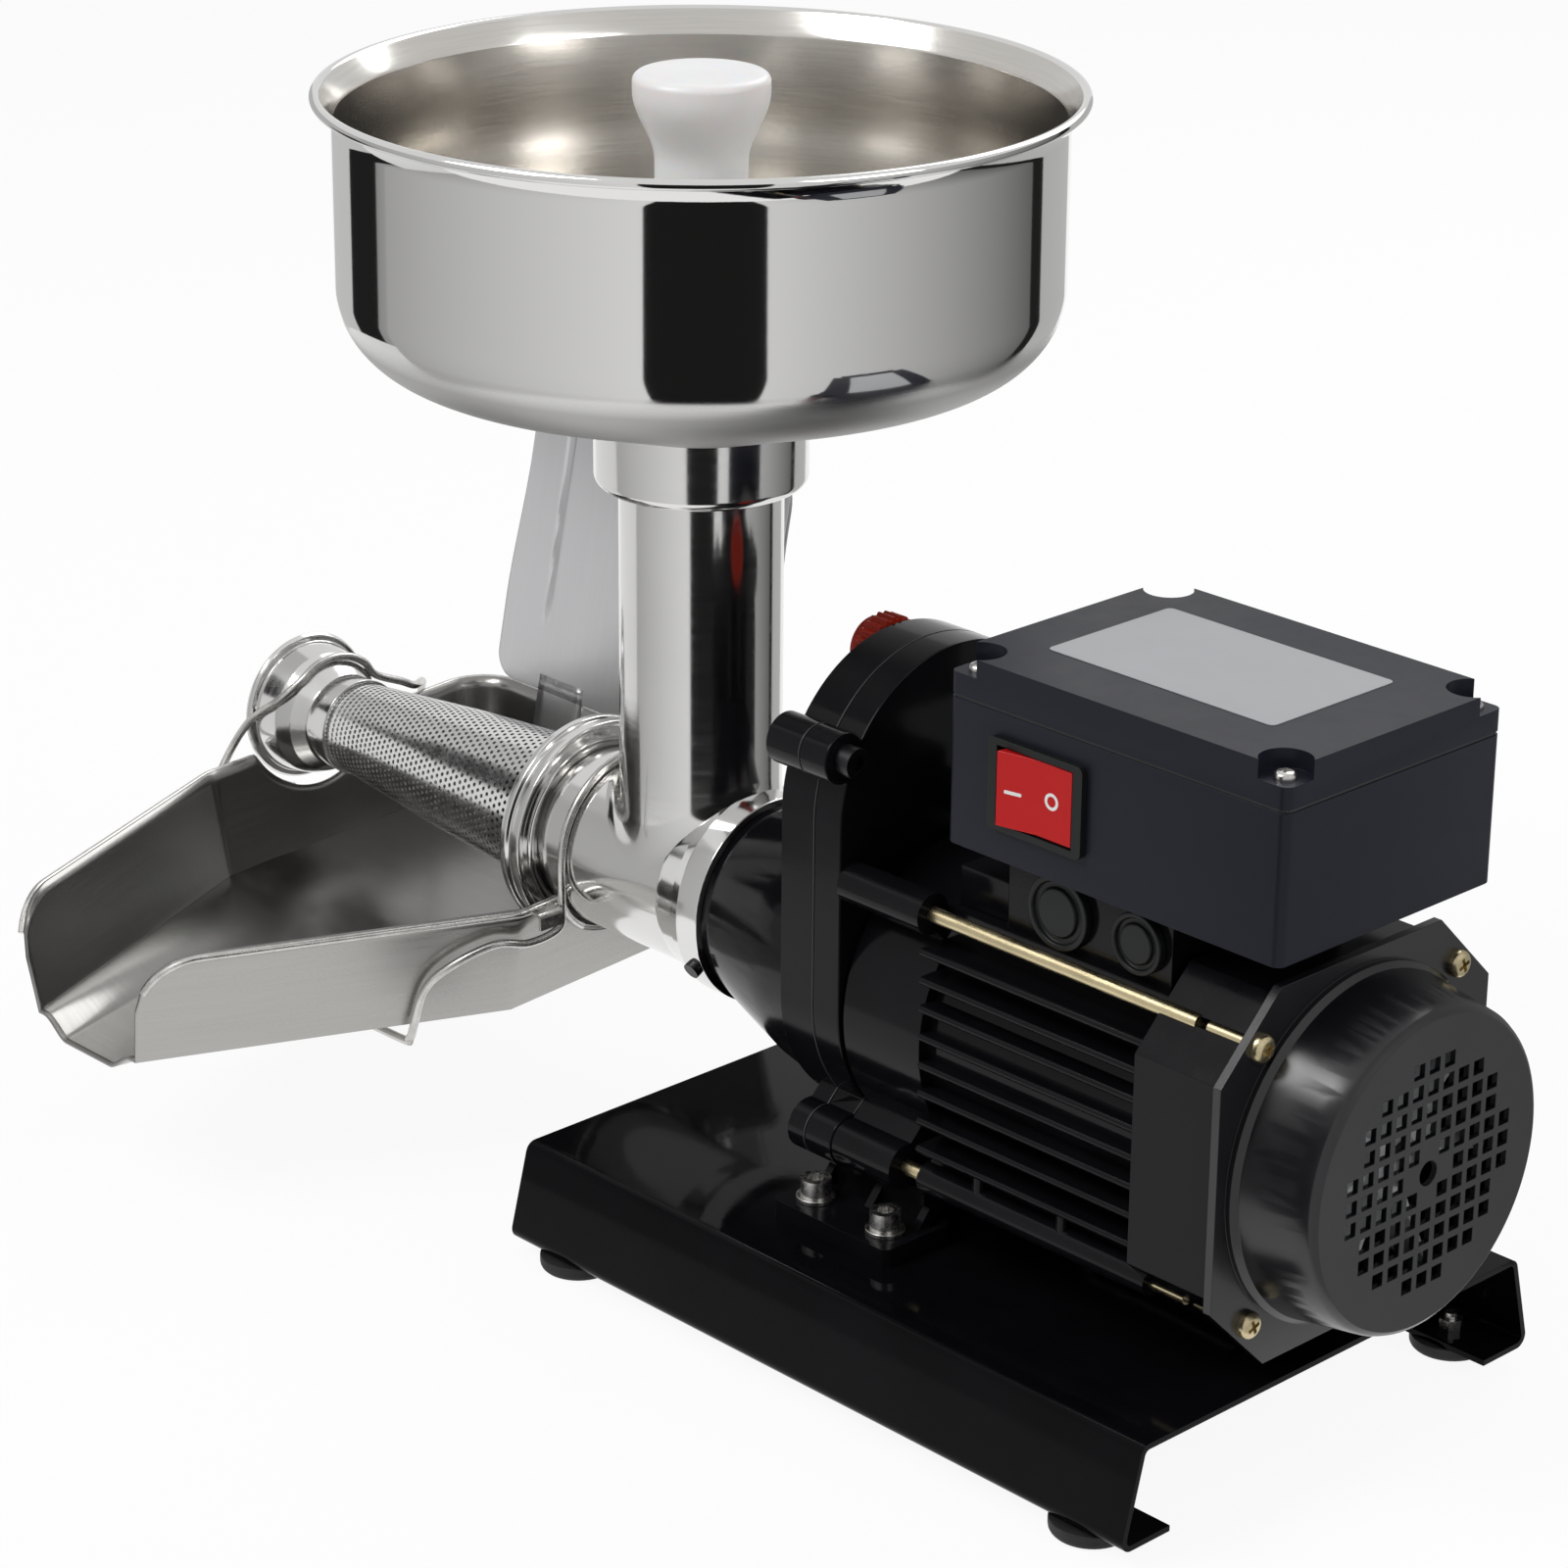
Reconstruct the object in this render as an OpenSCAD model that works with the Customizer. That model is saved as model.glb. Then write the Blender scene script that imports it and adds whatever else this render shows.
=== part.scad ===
// Electric tomato press: a geared motor drives an auger that pushes tomatoes from
// the hopper into a perforated cone over a drip tray.
// +X runs along the machine axis towards the fan, -Y is the switch side and +Z is up.
// The origin lies on the table, below the middle of the base.

/* [Base] */
// Length of the base plate
base_len = 276; // [240:1:330]
// Half width of the base's flat top
base_half_w = 88.7; // [80:0.1:110]
// Height of the top face above the table
base_h = 38.7; // [34:0.1:60]
// Sheet thickness of the base
base_t = 2; // [1.5:0.1:3]
// Radius of the sheet's bends, outside
base_bend_r = 4; // [3.2:0.1:6]
// How far each side flange leans outwards
base_splay = 6.6; // [2:0.1:12]
// Width of the lip turned in under each flange
base_lip_w = 17; // [14:0.1:30]
// Height of a rubber foot below the lip
foot_h = 5; // [3:0.1:12]
// Radius of a rubber foot
foot_r = 13; // [10:0.1:14]
// Distance of a foot's axis from the end of the base
foot_inset = 22; // [16:0.1:60]
// Radius of a foot's screw
foot_screw_r = 2; // [1.5:0.1:2.5]

/* [Machine axis and gearbox] */
// Height of the motor and auger axis above the table
axis_z = 109; // [108:0.1:130]
// Module of the gears
gear_module = 2; // [1.9:0.05:2.05]
// Teeth of each pinion
pinion_teeth = 18; // [18:1:18]
// Teeth of each large gear
wheel_teeth = 45; // [44:1:45]
// Face width of a gear
gear_w = 6; // [5:0.1:6.2]
// Outer radius of both ends of the gearbox
case_r = 50.4; // [50.2:0.1:53]
// Wall of the gearbox
case_wall = 2.8; // [2.4:0.1:2.9]
// Front face of the gearbox along the axis
case_front_x = -56; // [-58:0.1:-55]
// Length of the gearbox's front half, without the nose
case_front_len = 14.5; // [14.2:0.1:17]
// Length of the gearbox's rear half
case_rear_len = 12; // [11.8:0.1:15]
// Length of the nose that carries the output shaft
nose_len = 56; // [52:0.1:60]
// Radius of the nose where it meets the gearbox
nose_root_r = 49; // [46:0.1:50]
// Radius of the nose at its front face
nose_tip_r = 33.5; // [32:0.1:36]
// Length of the spigot that the feed body slides on
spigot_len = 10; // [8:0.1:14]
// Radius of that spigot
spigot_r = 30.2; // [29:0.1:30.5]
// Radius of a lug for a gearbox or motor bolt
lug_r = 8.5; // [7:0.1:10]
// Radius of the output shaft
output_r = 8.5; // [8:0.1:10]
// Radius of the layshaft
layshaft_r = 6; // [5:0.1:7]

/* [Motor] */
// Radius of the front shield of the motor
shield_r = 50; // [48:0.1:52]
// Length of the front shield
shield_len = 35.5; // [34:0.1:36]
// Length of the finned stator housing
stator_len = 96; // [80:0.1:120]
// Radius of the stator tube, outside
stator_r = 46; // [45:0.1:47]
// Radius of the stator tube's bore
stator_bore_r = 42.5; // [41:0.1:43]
// Reach of the cooling fins from the axis
fin_reach = 50.5; // [48:0.1:56]
// Number of cooling fins on each side
fin_count = 8; // [5:1:9]
// Distance from fin to fin
fin_pitch = 9.6; // [8:0.1:9.8]
// Thickness of a fin
fin_t = 2.8; // [2:0.1:4]
// Length of the rear end shield
end_shield_len = 34; // [28:0.1:40]
// Radius of the rotor
rotor_r = 26; // [20:0.1:27]
// Radius of the rotor shaft
rotor_shaft_r = 7.5; // [6:0.1:8]
// Distance of each tie rod from the axis, across and up
tie_offset = 45; // [44:0.1:46]
// Radius of a tie rod
tie_r = 2.5; // [2:0.1:3]

/* [Fan cowl] */
// Half width of the cowl's square plate
cowl_half = 61.5; // [60:0.1:66]
// Length cut off each corner of the plate
cowl_chamfer = 25; // [20:0.1:30]
// Thickness of that plate
cowl_plate_t = 3; // [2:0.1:4]
// Length of the cowl's drum
cowl_len = 29; // [26:0.1:40]
// Radius of the drum at the plate
cowl_root_r = 55.5; // [54:0.1:57]
// Radius of the drum at its end
cowl_end_r = 51; // [49:0.1:53]
// Wall of the drum
cowl_wall = 2; // [1.5:0.1:3]
// Distance from hole to hole in the grille
grille_pitch = 7; // [6:0.1:9]
// Side of a grille hole
grille_hole = 4.7; // [3.5:0.1:5.5]
// Radius of the grilled area
grille_r = 39.5; // [34:0.1:44]
// Number of fan blades
blade_count = 7; // [5:1:11]

/* [Terminal box] */
// Length of the terminal box
box_len = 133; // [120:0.1:150]
// Half width of the terminal box
box_half_w = 48.5; // [44:0.1:56]
// Height of the box without its lid
tub_h = 47.4; // [42:0.1:60]
// Height of the lid
lid_h = 14; // [12:0.1:20]
// Wall of the box and lid
box_wall = 2.5; // [2:0.1:3]
// Underside of the box above the axis
box_rise = 73.1; // [72:0.1:80]
// End of the box nearest the hopper
box_x0 = 14.3; // [10:0.1:20]
// Width of the switch bezel
bezel_w = 38.4; // [34:0.1:44]
// Height of the switch bezel
bezel_h = 29.5; // [27:0.1:36]
// Width of the rocker
rocker_w = 30; // [26:0.1:32]
// Height of the rocker
rocker_h = 24; // [20:0.1:25]

/* [Feed body and strainer] */
// Place of the hopper axis, against +X
feed_x = 148.5; // [146:0.1:152]
// Outer radius of the horizontal tube
neck_r = 31.5; // [31:0.1:32]
// Wall of the feed body
feed_wall = 2; // [1.5:0.1:2.3]
// Outer radius of the vertical feed tube
tube_r = 27.5; // [26.5:0.1:28]
// Radius of the clamp ring that holds the cone
ring_r = 38.9; // [38.3:0.1:42]
// Length of the clamp ring
ring_len = 11; // [10:0.1:13]
// Front face of the clamp ring along the axis
ring_front_x = -210; // [-214:0.1:-208]
// Outer radius of the perforated cone at the ring
cone_r0 = 27.6; // [26.5:0.1:27.8]
// Outer radius half way along the cone
cone_r1 = 22.6; // [21.5:0.1:23.5]
// Outer radius of the cone at its small end
cone_r2 = 15.8; // [15:0.1:17.5]
// Length of the perforated cone
cone_len = 135; // [125:0.1:145]
// Wall of the cone
cone_wall = 0.8; // [0.6:0.1:1]
// Rows of holes along the cone
hole_rows = 13; // [8:1:16]
// Holes in one row
hole_count = 12; // [10:1:16]
// Radius of a hole
hole_r = 1.6; // [0.8:0.1:1.8]
// Length of the outlet funnel
funnel_len = 25; // [22:0.1:30]
// Radius of the funnel's rim
funnel_r = 27.9; // [25:0.1:30]
// Pitch of the auger
auger_pitch = 30; // [26:0.1:36]
// Running gap of the auger inside the cone and the tube
auger_gap = 0.8; // [0.5:0.1:1.5]

/* [Hopper and pusher] */
// How far the rolled rim stands out past the bowl's wall
rim_out = 6.5; // [4:0.1:9]
// Top of the rim above the table
rim_z = 380; // [372:0.1:383]
// Radius of the bowl's upright wall
bowl_r = 118.5; // [114:0.1:119]
// Height of the upright wall's lower end above the table
bowl_wall_z = 317.5; // [314:0.1:325]
// Radius of the rounded corner below the wall
bowl_corner_r = 28; // [25:0.1:30]
// Underside of the bowl at the collar, above the table
bowl_floor_z = 270; // [268:0.1:272]
// Outer radius of the collar
collar_r = 35.6; // [34.5:0.1:38]
// Lower end of the collar above the table
collar_z = 247.5; // [242:0.1:250]
// Sheet thickness of the hopper
hopper_t = 1.2; // [1:0.1:1.5]
// Radius of the pusher's head
pusher_head_r = 22.3; // [20:0.1:24]
// Radius of the pusher's shaft
pusher_shaft_r = 14.8; // [12:0.1:16]
// Radius of the pusher's lower disc
pusher_foot_r = 24.6; // [23:0.1:24.8]
// Top of the pusher above the table
pusher_top = 384.5; // [383:0.1:400]

/* [Drip tray and splash guard] */
// Middle of the tray, against +X
tray_x = 275.5; // [274:0.1:277]
// Half length of the tray's floor under the cone
tray_half = 80; // [78:0.1:81]
// Half width of the spout at its mouth
mouth_half = 28; // [20:0.1:34]
// How far the tray reaches behind the axis
tray_back = 77; // [70:0.1:80]
// Where the walls begin to close in, in front of the axis
tray_kink = 46; // [42:0.1:60]
// How far the mouth lies in front of the axis
tray_mouth = 169; // [150:0.1:185]
// Height of the floor above the table
tray_z = 55; // [53:0.1:56]
// Rise of the floor towards the back
tray_rise = 7.6; // [4:0.1:8]
// Height of the tray's walls
tray_wall_h = 40; // [38:0.1:42]
// How far the walls lean outwards
tray_flare = 8; // [5:0.1:10]
// Depth of the channel pressed into the spout
spout_dip = 6.5; // [3:0.1:9]
// Sheet thickness of the tray and the guard
tray_t = 1.2; // [0.8:0.1:1.5]
// Radius of the wire that carries the tray
wire_r = 1.5; // [1.2:0.1:2]
// Half width of the splash guard
guard_half = 73; // [62:0.1:75]
// Height of the guard above the tray's rim
guard_h = 118; // [90:0.1:124]
// Middle of the guard, against +X
guard_x = 283; // [280:0.1:285]

/* [Hidden] */
$fn = 64;

// Clearances and overruns shared by all pieces
run_gap = 0.05;
bolt_gap = 0.1;
seat_gap = 0.3;
over = 1;

// Places of the gearbox, from front to rear
case_split_x = case_front_x + case_front_len;
case_rear_x = case_split_x + case_rear_len;
gasket_t = 0.5;
gear_centre = gear_module * (pinion_teeth + wheel_teeth) / 2;
lay_z = axis_z + gear_centre;
nose_x = case_front_x - nose_len;
spigot_x = nose_x - spigot_len;
case_in_front_x = case_front_x + case_wall;
case_in_rear_x = case_rear_x - case_wall;
gear_gap = 1;
wheel_out_x = case_split_x - gear_w;
wheel_in_x = case_split_x + gear_gap;
backlash = 0.15;
bush_r = 9;
bush_floor = 1.2;
bush_len = case_rear_len - bush_floor - gear_gap - gear_w - seat_gap;
bush_boss_r = 13;
bearing_r = 20;
bearing_w = 12;
motor_bearing_r = 17.5;
motor_bearing_w = 11;
seal_r = 16;
seal_w = 6;
motor_seal_r = 13;
drive_side = 10;
drive_len = 13;
drive_gap = 0.1;
lug_top_y = 49;
lug_top_z = lay_z + 0.48 * case_r;
lug_low_len = 19.5;
lug_low_r = 7.8;
lug_low_end = 9.5;
lug_web_share = 0.5;
case_screw_r = 3;
case_head_r = 5;
case_head_h = 6;
plug_drop = 10.4;
plug_r = 12;
plug_neck_r = 7;
plug_neck_len = 8;
plug_head_len = 13;
plug_tooth = 1;
plug_teeth = 24;
plug_ring_t = 1.4;
pin_r = 3;
pin_tilt = 118;

// Places of the motor, from front to rear
motor_x = case_rear_x;
stator_x = motor_x + shield_len;
end_shield_x = stator_x + stator_len;
cowl_x = end_shield_x + end_shield_len;
cowl_drum_x = cowl_x + cowl_plate_t;
cowl_end_x = cowl_drum_x + cowl_len;
end_shield_inset = 4;
shield_wall = 4;
hub_wall = 4;
bearing_hub_r = motor_bearing_r + hub_wall;
front_bearing_x = motor_x + shield_wall;
rear_bearing_x = end_shield_x + shield_wall + bearing_w;
stator_core_len = 62;
core_slot_count = 24;
core_slot_w = 3;
core_slot_depth = 9;
air_gap = 0.5;
winding_len = 13;
fan_gap = 5;
pin_post_r = 2;
pin_post_len = 8.4;
tie_head_r = 4.5;
tie_head_h = 3.5;
tie_pocket = 14;
tie_reach = tie_offset * sqrt(2);
fan_hub_r = 12;
fan_hub_len = 16;
blade_r = 46;
blade_t = 1.6;
blade_w = 13;
fan_x = cowl_x + fan_gap;
rotor_end_x = fan_x + fan_hub_len + over;
cowl_screw_r = 2;
cowl_head_r = 4.4;
cowl_head_h = 3.2;
cross_w = 1.2;
cross_depth = 1.4;
hub_hole_r = 4;
hub_plain_r = 8.5;
cowl_edge = 2.6;
cowl_step = 1.8;

// Places of the motor's foot
foot_mid_x = -18.2;
foot_len = 52;
foot_t = 6.3;
foot_reach = 65;
foot_web_y = 42;
foot_web_t = 7;
foot_web_len = 40;
foot_screw_dx = 15.8;
foot_screw_y = 55;
saddle_len = 24;
rib_t = 3;
m6_r = 3;
m6_head_r = 5;
m6_head_h = 6;
m6_hex_r = 2.9;
m6_washer_r = 6.4;
m6_washer_t = 1.6;
m6_nut_r = 5.7;
m6_nut_h = 5;

// Places of the terminal box
box_z = axis_z + box_rise;
lid_z = box_z + tub_h;
lid_gasket_t = 1;
box_post = 11;
box_corner_r = 3;
lid_notch_r = 8;
lid_notch_depth = 6;
lid_screw_inset = 6.5;
lid_screw_r = 1.6;
lid_head_r = 3.4;
lid_head_h = 2.2;
lid_screw_len = 14;
pedestal_x0 = 32;
pedestal_x1 = end_shield_x - 3 * over;
pedestal_half = 39;
pedestal_wall = 4;
pedestal_step_x0 = 8;
pedestal_step_h = 13;
pedestal_step_half = 35;
stator_pad_h = 0.4;
plug_holes = [[54.9, 12.2], [86.8, 9.9]];
knock_t = 3;
knock_groove = 1.6;
bezel_mid_x = 52.2;
bezel_mid_z = box_z + 0.54 * tub_h;
bezel_t = 2.2;
switch_depth = 22;
switch_wall = 1.5;
rocker_gap = 0.5;
switch_rim = rocker_gap + switch_wall + bolt_gap;
rocker_rise = 1;
rocker_tilt = 6;
rocker_pivot_in = 5;
rocker_pin_r = 1.5;
rocker_pin_len = 0.9;
capacitor_r = 16;
capacitor_len = 70;
gland_r = 9;
gland_bore = 3.5;
gland_len = 20;
gland_nut_h = 5;

// Places of the feed body and the strainer
feed_axis_x = -feed_x;
collar_sleeve_r = 36;
neck_in_r = neck_r - feed_wall;
cone_step = 3;
cone_x0 = ring_front_x + cone_step;
cone_flange_t = 1.2;
neck_front_x = cone_x0 + cone_flange_t;
neck_flange_r = 36;
neck_flange_t = 4.5;
ring_in_r = neck_flange_r + seat_gap;
ring_tab = 2.6;
cone_x1 = cone_x0 - cone_len;
funnel_sleeve = 9;
funnel_wall = 1.2;
funnel_throat_r = cone_r2 + funnel_wall;
funnel_shares = [[0.1, 0], [0.28, 0.36], [0.5, 0.58], [0.85, 0.72]];
tube_in_r = tube_r - feed_wall;
tube_top = bowl_floor_z - seat_gap;
saddle_flare = 7;
saddle_r0 = tube_r + saddle_flare;
saddle_h = 12;
auger_core_r = 9;
auger_core_r2 = 7;
flight_t = 2.4;
flight_steps = 15;
flight_x0 = spigot_x - 0.4 * spigot_len;
tip_len = 6;

// Places of the hopper
collar_wall = 1.6;
collar_round = 5;
rim_bead = 1.8;
rim_r = bowl_r + rim_out;
rim_flare_z = 9;
bowl_neck_r = tube_in_r;
bowl_angle = 75;
bowl_corner_x = bowl_r - bowl_corner_r * (1 - cos(bowl_angle));
bowl_corner_z = bowl_wall_z - bowl_corner_r * sin(bowl_angle);

// Places of the tray and the guard
tray_mid = -tray_x;
tray_round = 9;
tray_notch_gap = 1.6;
mouth_round = 20;
tab_len = 12;
tab_w = 8;
tab_h = 6;
guard_lean = atan(tray_flare / tray_wall_h);
guard_leg_w = 25;
guard_leg_in = 25;
guard_round = 10;
guard_bead_r = 1.3;
guard_bead_in = 24;
guard_bead_low = 28;
arch_back = 23;
rear_arch_x = neck_front_x + arch_back;
front_arch_x = cone_x1 - 0.28 * funnel_len;
arch_r = neck_r + wire_r + seat_gap;
front_arch_r = 0.82 * funnel_r;

// Points on an arc about (x, y), from angle a0 to a1 in n steps
function arc(x, y, r, a0, a1, n = 8) =
    [for (i = [0:n]) [x + r * cos(a0 + (a1 - a0) * i / n), y + r * sin(a0 + (a1 - a0) * i / n)]];

// Outline of a rectangle w by h with rounded corners, about the origin
function round_rect(w, h, r, n = 5) = concat(
    arc(w / 2 - r, h / 2 - r, r, 0, 90, n), arc(r - w / 2, h / 2 - r, r, 90, 180, n),
    arc(r - w / 2, r - h / 2, r, 180, 270, n), arc(w / 2 - r, r - h / 2, r, 270, 360, n));

// Outline of a square of half side h whose corners are cut by c
function cut_square(h, c) = [[h, c - h], [h, h - c], [h - c, h], [c - h, h], [-h, h - c],
    [-h, c - h], [c - h, -h], [h - c, -h]];

// Extrudes a figure drawn across the axis (Y, Z) along X
module along_x(x0, len) {
    translate([x0, 0, 0]) rotate([90, 0, 90]) linear_extrude(len) children();
}

// A round bar along X
module bar(x0, x1, r, y = 0, z = axis_z) {
    translate([x0, y, z]) rotate([0, 90, 0]) cylinder(h = x1 - x0, r = r);
}

// A ring along X
module ring_x(x0, x1, r, bore, y = 0, z = axis_z) {
    difference() {
        bar(x0, x1, r, y, z);
        bar(x0 - over, x1 + over, bore, y, z);
    }
}

// A body turned about an axis along X, from [radius, x] points
module turned(points, z = axis_z) {
    translate([0, 0, z]) rotate([0, 90, 0]) rotate_extrude() polygon(points);
}

// Cuts a hole from z = 0 up
module drill(h, r) {
    translate([0, 0, -over]) cylinder(h = h + 2 * over, r = r, $fn = 32);
}

// Puts a copy at each side of the machine's middle plane
module both_sides() {
    children();
    mirror([0, 1, 0]) children();
}

// Half of the base channel's outline, drawn at a depth below the outer skin
function channel_half(inset) =
    let (drop = base_h - foot_h - 2 * base_bend_r,
         lean = atan(base_splay / drop),
         top_y = base_half_w - base_bend_r,
         low_y = top_y + base_splay)
    concat(arc(top_y, base_h - base_bend_r, base_bend_r - inset, 90, lean, 6),
           arc(low_y, foot_h + base_bend_r, base_bend_r - inset, lean, -90, 8),
           [[low_y - base_lip_w, foot_h + inset]]);
function flip_y(points) = [for (i = [len(points) - 1:-1:0]) [-points[i][0], points[i][1]]];

base_lip_y = base_half_w - base_bend_r + base_splay - base_lip_w;
foot_x = base_len / 2 - foot_inset;
foot_y = base_lip_y + base_lip_w / 2 + foot_screw_r;
foot_hole_r = foot_screw_r + bolt_gap;
foot_head_r = 2 * foot_screw_r;
foot_head_h = 0.8 * foot_screw_r;
foot_head_z = 0.3 * foot_h;
foot_nut_h = 1.6 * foot_screw_r;
foot_nut_r = 2 * foot_screw_r;

module foot_places() {
    for (x = [-foot_x, foot_x], y = [-foot_y, foot_y]) translate([x, y, 0]) children();
}

module motor_foot_places() {
    for (x = [-foot_screw_dx, foot_screw_dx], y = [-foot_screw_y, foot_screw_y])
        translate([foot_mid_x + x, y, 0]) children();
}

module base_plate() {
    color("#1c1c20") difference() {
        along_x(-base_len / 2, base_len)
            polygon(concat(flip_y(channel_half(0)), channel_half(0),
                [for (i = [len(channel_half(base_t)) - 1:-1:0]) channel_half(base_t)[i]],
                [for (p = channel_half(base_t)) [-p[0], p[1]]]));
        foot_places() cylinder(h = foot_h + base_t + over, r = foot_hole_r, $fn = 32);
        motor_foot_places() translate([0, 0, base_h - base_t - over])
            cylinder(h = base_t + 2 * over, r = m6_r + bolt_gap, $fn = 32);
    }
}

module rubber_feet() {
    color("#151515") foot_places() difference() {
        rotate_extrude($fn = 48) polygon(concat([[0, 0]],
            arc(foot_r - foot_h / 2, foot_h / 2, foot_h / 2, -90, 0, 5),
            [[foot_r, foot_h], [0, foot_h]]));
        drill(foot_h, foot_hole_r);
        translate([0, 0, -over])
            cylinder(h = foot_head_z + foot_head_h + over, r = foot_head_r + bolt_gap, $fn = 32);
    }
}

module foot_bolts() {
    color("#b9b9bd") foot_places() {
        difference() {
            union() {
                translate([0, 0, foot_head_z]) cylinder(h = foot_head_h, r = foot_head_r, $fn = 32);
                translate([0, 0, foot_head_z])
                    cylinder(h = foot_h + base_t + foot_nut_h + foot_screw_r - foot_head_z,
                        r = foot_screw_r, $fn = 32);
            }
            translate([0, 0, foot_head_z]) cylinder(h = foot_head_h / 2, r = foot_screw_r / 2, $fn = 6);
        }
    }
}

module foot_nuts() {
    color("#b9b9bd") foot_places() translate([0, 0, foot_h + base_t]) difference() {
        cylinder(h = foot_nut_h, r = foot_nut_r, $fn = 6);
        drill(foot_nut_h, foot_hole_r);
    }
}

// Cast cradle that carries the gearbox and motor on the base
module motor_foot() {
    foot_z = base_h + foot_t;
    web_top = axis_z - tie_offset;
    color("#1a1a1e") difference() {
        union() {
            both_sides() {
                translate([foot_mid_x, -(foot_reach + foot_web_y - foot_web_t) / 2, base_h])
                    linear_extrude(foot_t)
                        polygon(round_rect(foot_len, foot_reach - foot_web_y + foot_web_t, foot_t / 2));
                translate([foot_mid_x - foot_web_len / 2, -foot_web_y, base_h])
                    cube([foot_web_len, foot_web_t, web_top - base_h]);
                for (x = [-1, 0, 1])
                    translate([foot_mid_x + x * (foot_len - rib_t - foot_t) / 2 - rib_t / 2, 0, 0])
                        along_x(0, rib_t)
                            polygon([[-foot_web_y, foot_z - foot_t / 2], [-foot_web_y, foot_z + foot_t],
                                [-foot_screw_y + m6_head_r, foot_z - foot_t / 2]]);
            }
            translate([motor_x, -foot_web_y, foot_z - foot_t / 2])
                cube([saddle_len, 2 * foot_web_y, web_top - foot_z + foot_t / 2]);
        }
        bar(motor_x - over, motor_x + saddle_len + over, shield_r);
        bar(motor_x - foot_web_len, motor_x, case_r);
        low_lugs(case_front_x, stator_x + over);
        motor_foot_places() translate([0, 0, base_h - over])
            cylinder(h = foot_t + 2 * over, r = m6_r + bolt_gap, $fn = 32);
        motor_foot_places() translate([0, 0, foot_z])
            cylinder(h = m6_head_h + m6_washer_t, r = m6_washer_r + bolt_gap, $fn = 32);
    }
}

module motor_foot_washers() {
    color("#c8c8cc") motor_foot_places() translate([0, 0, base_h + foot_t]) difference() {
        cylinder(h = m6_washer_t, r = m6_washer_r, $fn = 40);
        drill(m6_washer_t, m6_r + bolt_gap);
    }
}

module motor_foot_screws() {
    color("#d2d2d6") motor_foot_places() {
        head_z = base_h + foot_t + m6_washer_t;
        difference() {
            union() {
                translate([0, 0, head_z]) cylinder(h = m6_head_h, r = m6_head_r, $fn = 40);
                translate([0, 0, base_h - base_t - m6_nut_h - m6_r / 2])
                    cylinder(h = head_z + m6_nut_h - base_h + base_t + m6_r / 2 + m6_head_h / 4,
                        r = m6_r, $fn = 32);
            }
            translate([0, 0, head_z + m6_head_h / 2]) cylinder(h = m6_head_h, r = m6_hex_r, $fn = 6);
        }
    }
}

module motor_foot_nuts() {
    color("#b9b9bd") motor_foot_places() translate([0, 0, base_h - base_t - m6_nut_h]) difference() {
        cylinder(h = m6_nut_h, r = m6_nut_r, $fn = 6);
        drill(m6_nut_h, m6_r + bolt_gap);
    }
}

// Upright oval of the gearbox, made of two rounds and the straight part between them
module case_outline(r) {
    translate([0, axis_z]) circle(r);
    translate([0, lay_z]) circle(r);
    translate([-r, axis_z]) square([2 * r, gear_centre]);
}

module case_lugs(x0, x1) {
    for (y = [-lug_top_y, lug_top_y]) bar(x0, x1, lug_r, y, lug_top_z);
}

// Lugs of the tie rods with the web that joins each to the round housing, at the
// given angles about the axis
module tie_lugs(x0, x1, r, angles) {
    web = tie_reach - shield_r + shield_wall;
    translate([x0, 0, axis_z]) for (a = angles) rotate([a, 0, 0]) {
        translate([0, 0, -tie_reach]) rotate([0, 90, 0]) cylinder(h = x1 - x0, r = r);
        translate([0, -r * lug_web_share, -tie_reach]) cube([x1 - x0, 2 * r * lug_web_share, web]);
    }
}

module top_holes(x0, x1) {
    for (y = [-lug_top_y, lug_top_y]) bar(x0, x1, case_screw_r + bolt_gap, y, lug_top_z);
}

module low_holes(x0, x1) {
    for (y = [-tie_offset, tie_offset]) bar(x0, x1, tie_r + bolt_gap, y, axis_z - tie_offset);
}

module low_lugs(x0, x1) {
    tie_lugs(x0, x1, lug_r, [-45, 45]);
}

module gearbox_front() {
    color("#1b1b1f") difference() {
        union() {
            along_x(case_front_x, case_front_len - gasket_t / 2) case_outline(case_r);
            turned([[0, case_front_x + over], [nose_root_r, case_front_x + over],
                [nose_root_r, case_front_x],
                [nose_tip_r + 0.8 * (nose_root_r - nose_tip_r), case_front_x - 0.3 * nose_len],
                [nose_tip_r + 0.3 * (nose_root_r - nose_tip_r), case_front_x - 0.75 * nose_len],
                [nose_tip_r, nose_x], [spigot_r, nose_x], [spigot_r, spigot_x], [0, spigot_x]]);
            case_lugs(case_front_x, case_split_x - gasket_t / 2);
            difference() {
                low_lugs(case_rear_x - lug_low_len, case_split_x - gasket_t / 2);
                bar(case_front_x, case_rear_x, case_r - case_wall / 2);
            }
        }
        along_x(case_in_front_x, case_front_len) difference() {
            case_outline(case_r - case_wall);
            translate([0, lay_z]) circle(bush_boss_r);
        }
        bar(wheel_out_x - gear_gap, case_split_x + over, bush_boss_r + over, 0, lay_z);
        bar(case_front_x + bush_floor, case_split_x, bush_r, 0, lay_z);
        bar(nose_x + seal_w, case_split_x, bearing_r);
        bar(spigot_x - over, case_split_x, seal_r);
        top_holes(case_front_x + case_wall, case_split_x + over);
        low_holes(case_rear_x - lug_low_len + over, case_split_x + over);
        bar(case_front_x - over, case_front_x + case_wall + over, plug_neck_r + bolt_gap,
            0, lay_z + case_r - plug_drop);
        for (a = [pin_tilt, pin_tilt + 180]) translate([(nose_x + spigot_x) / 2, 0, axis_z])
            rotate([a, 0, 0]) translate([0, 0, seal_r + over])
                cylinder(h = spigot_r, r = pin_r, $fn = 32);
    }
}

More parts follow.
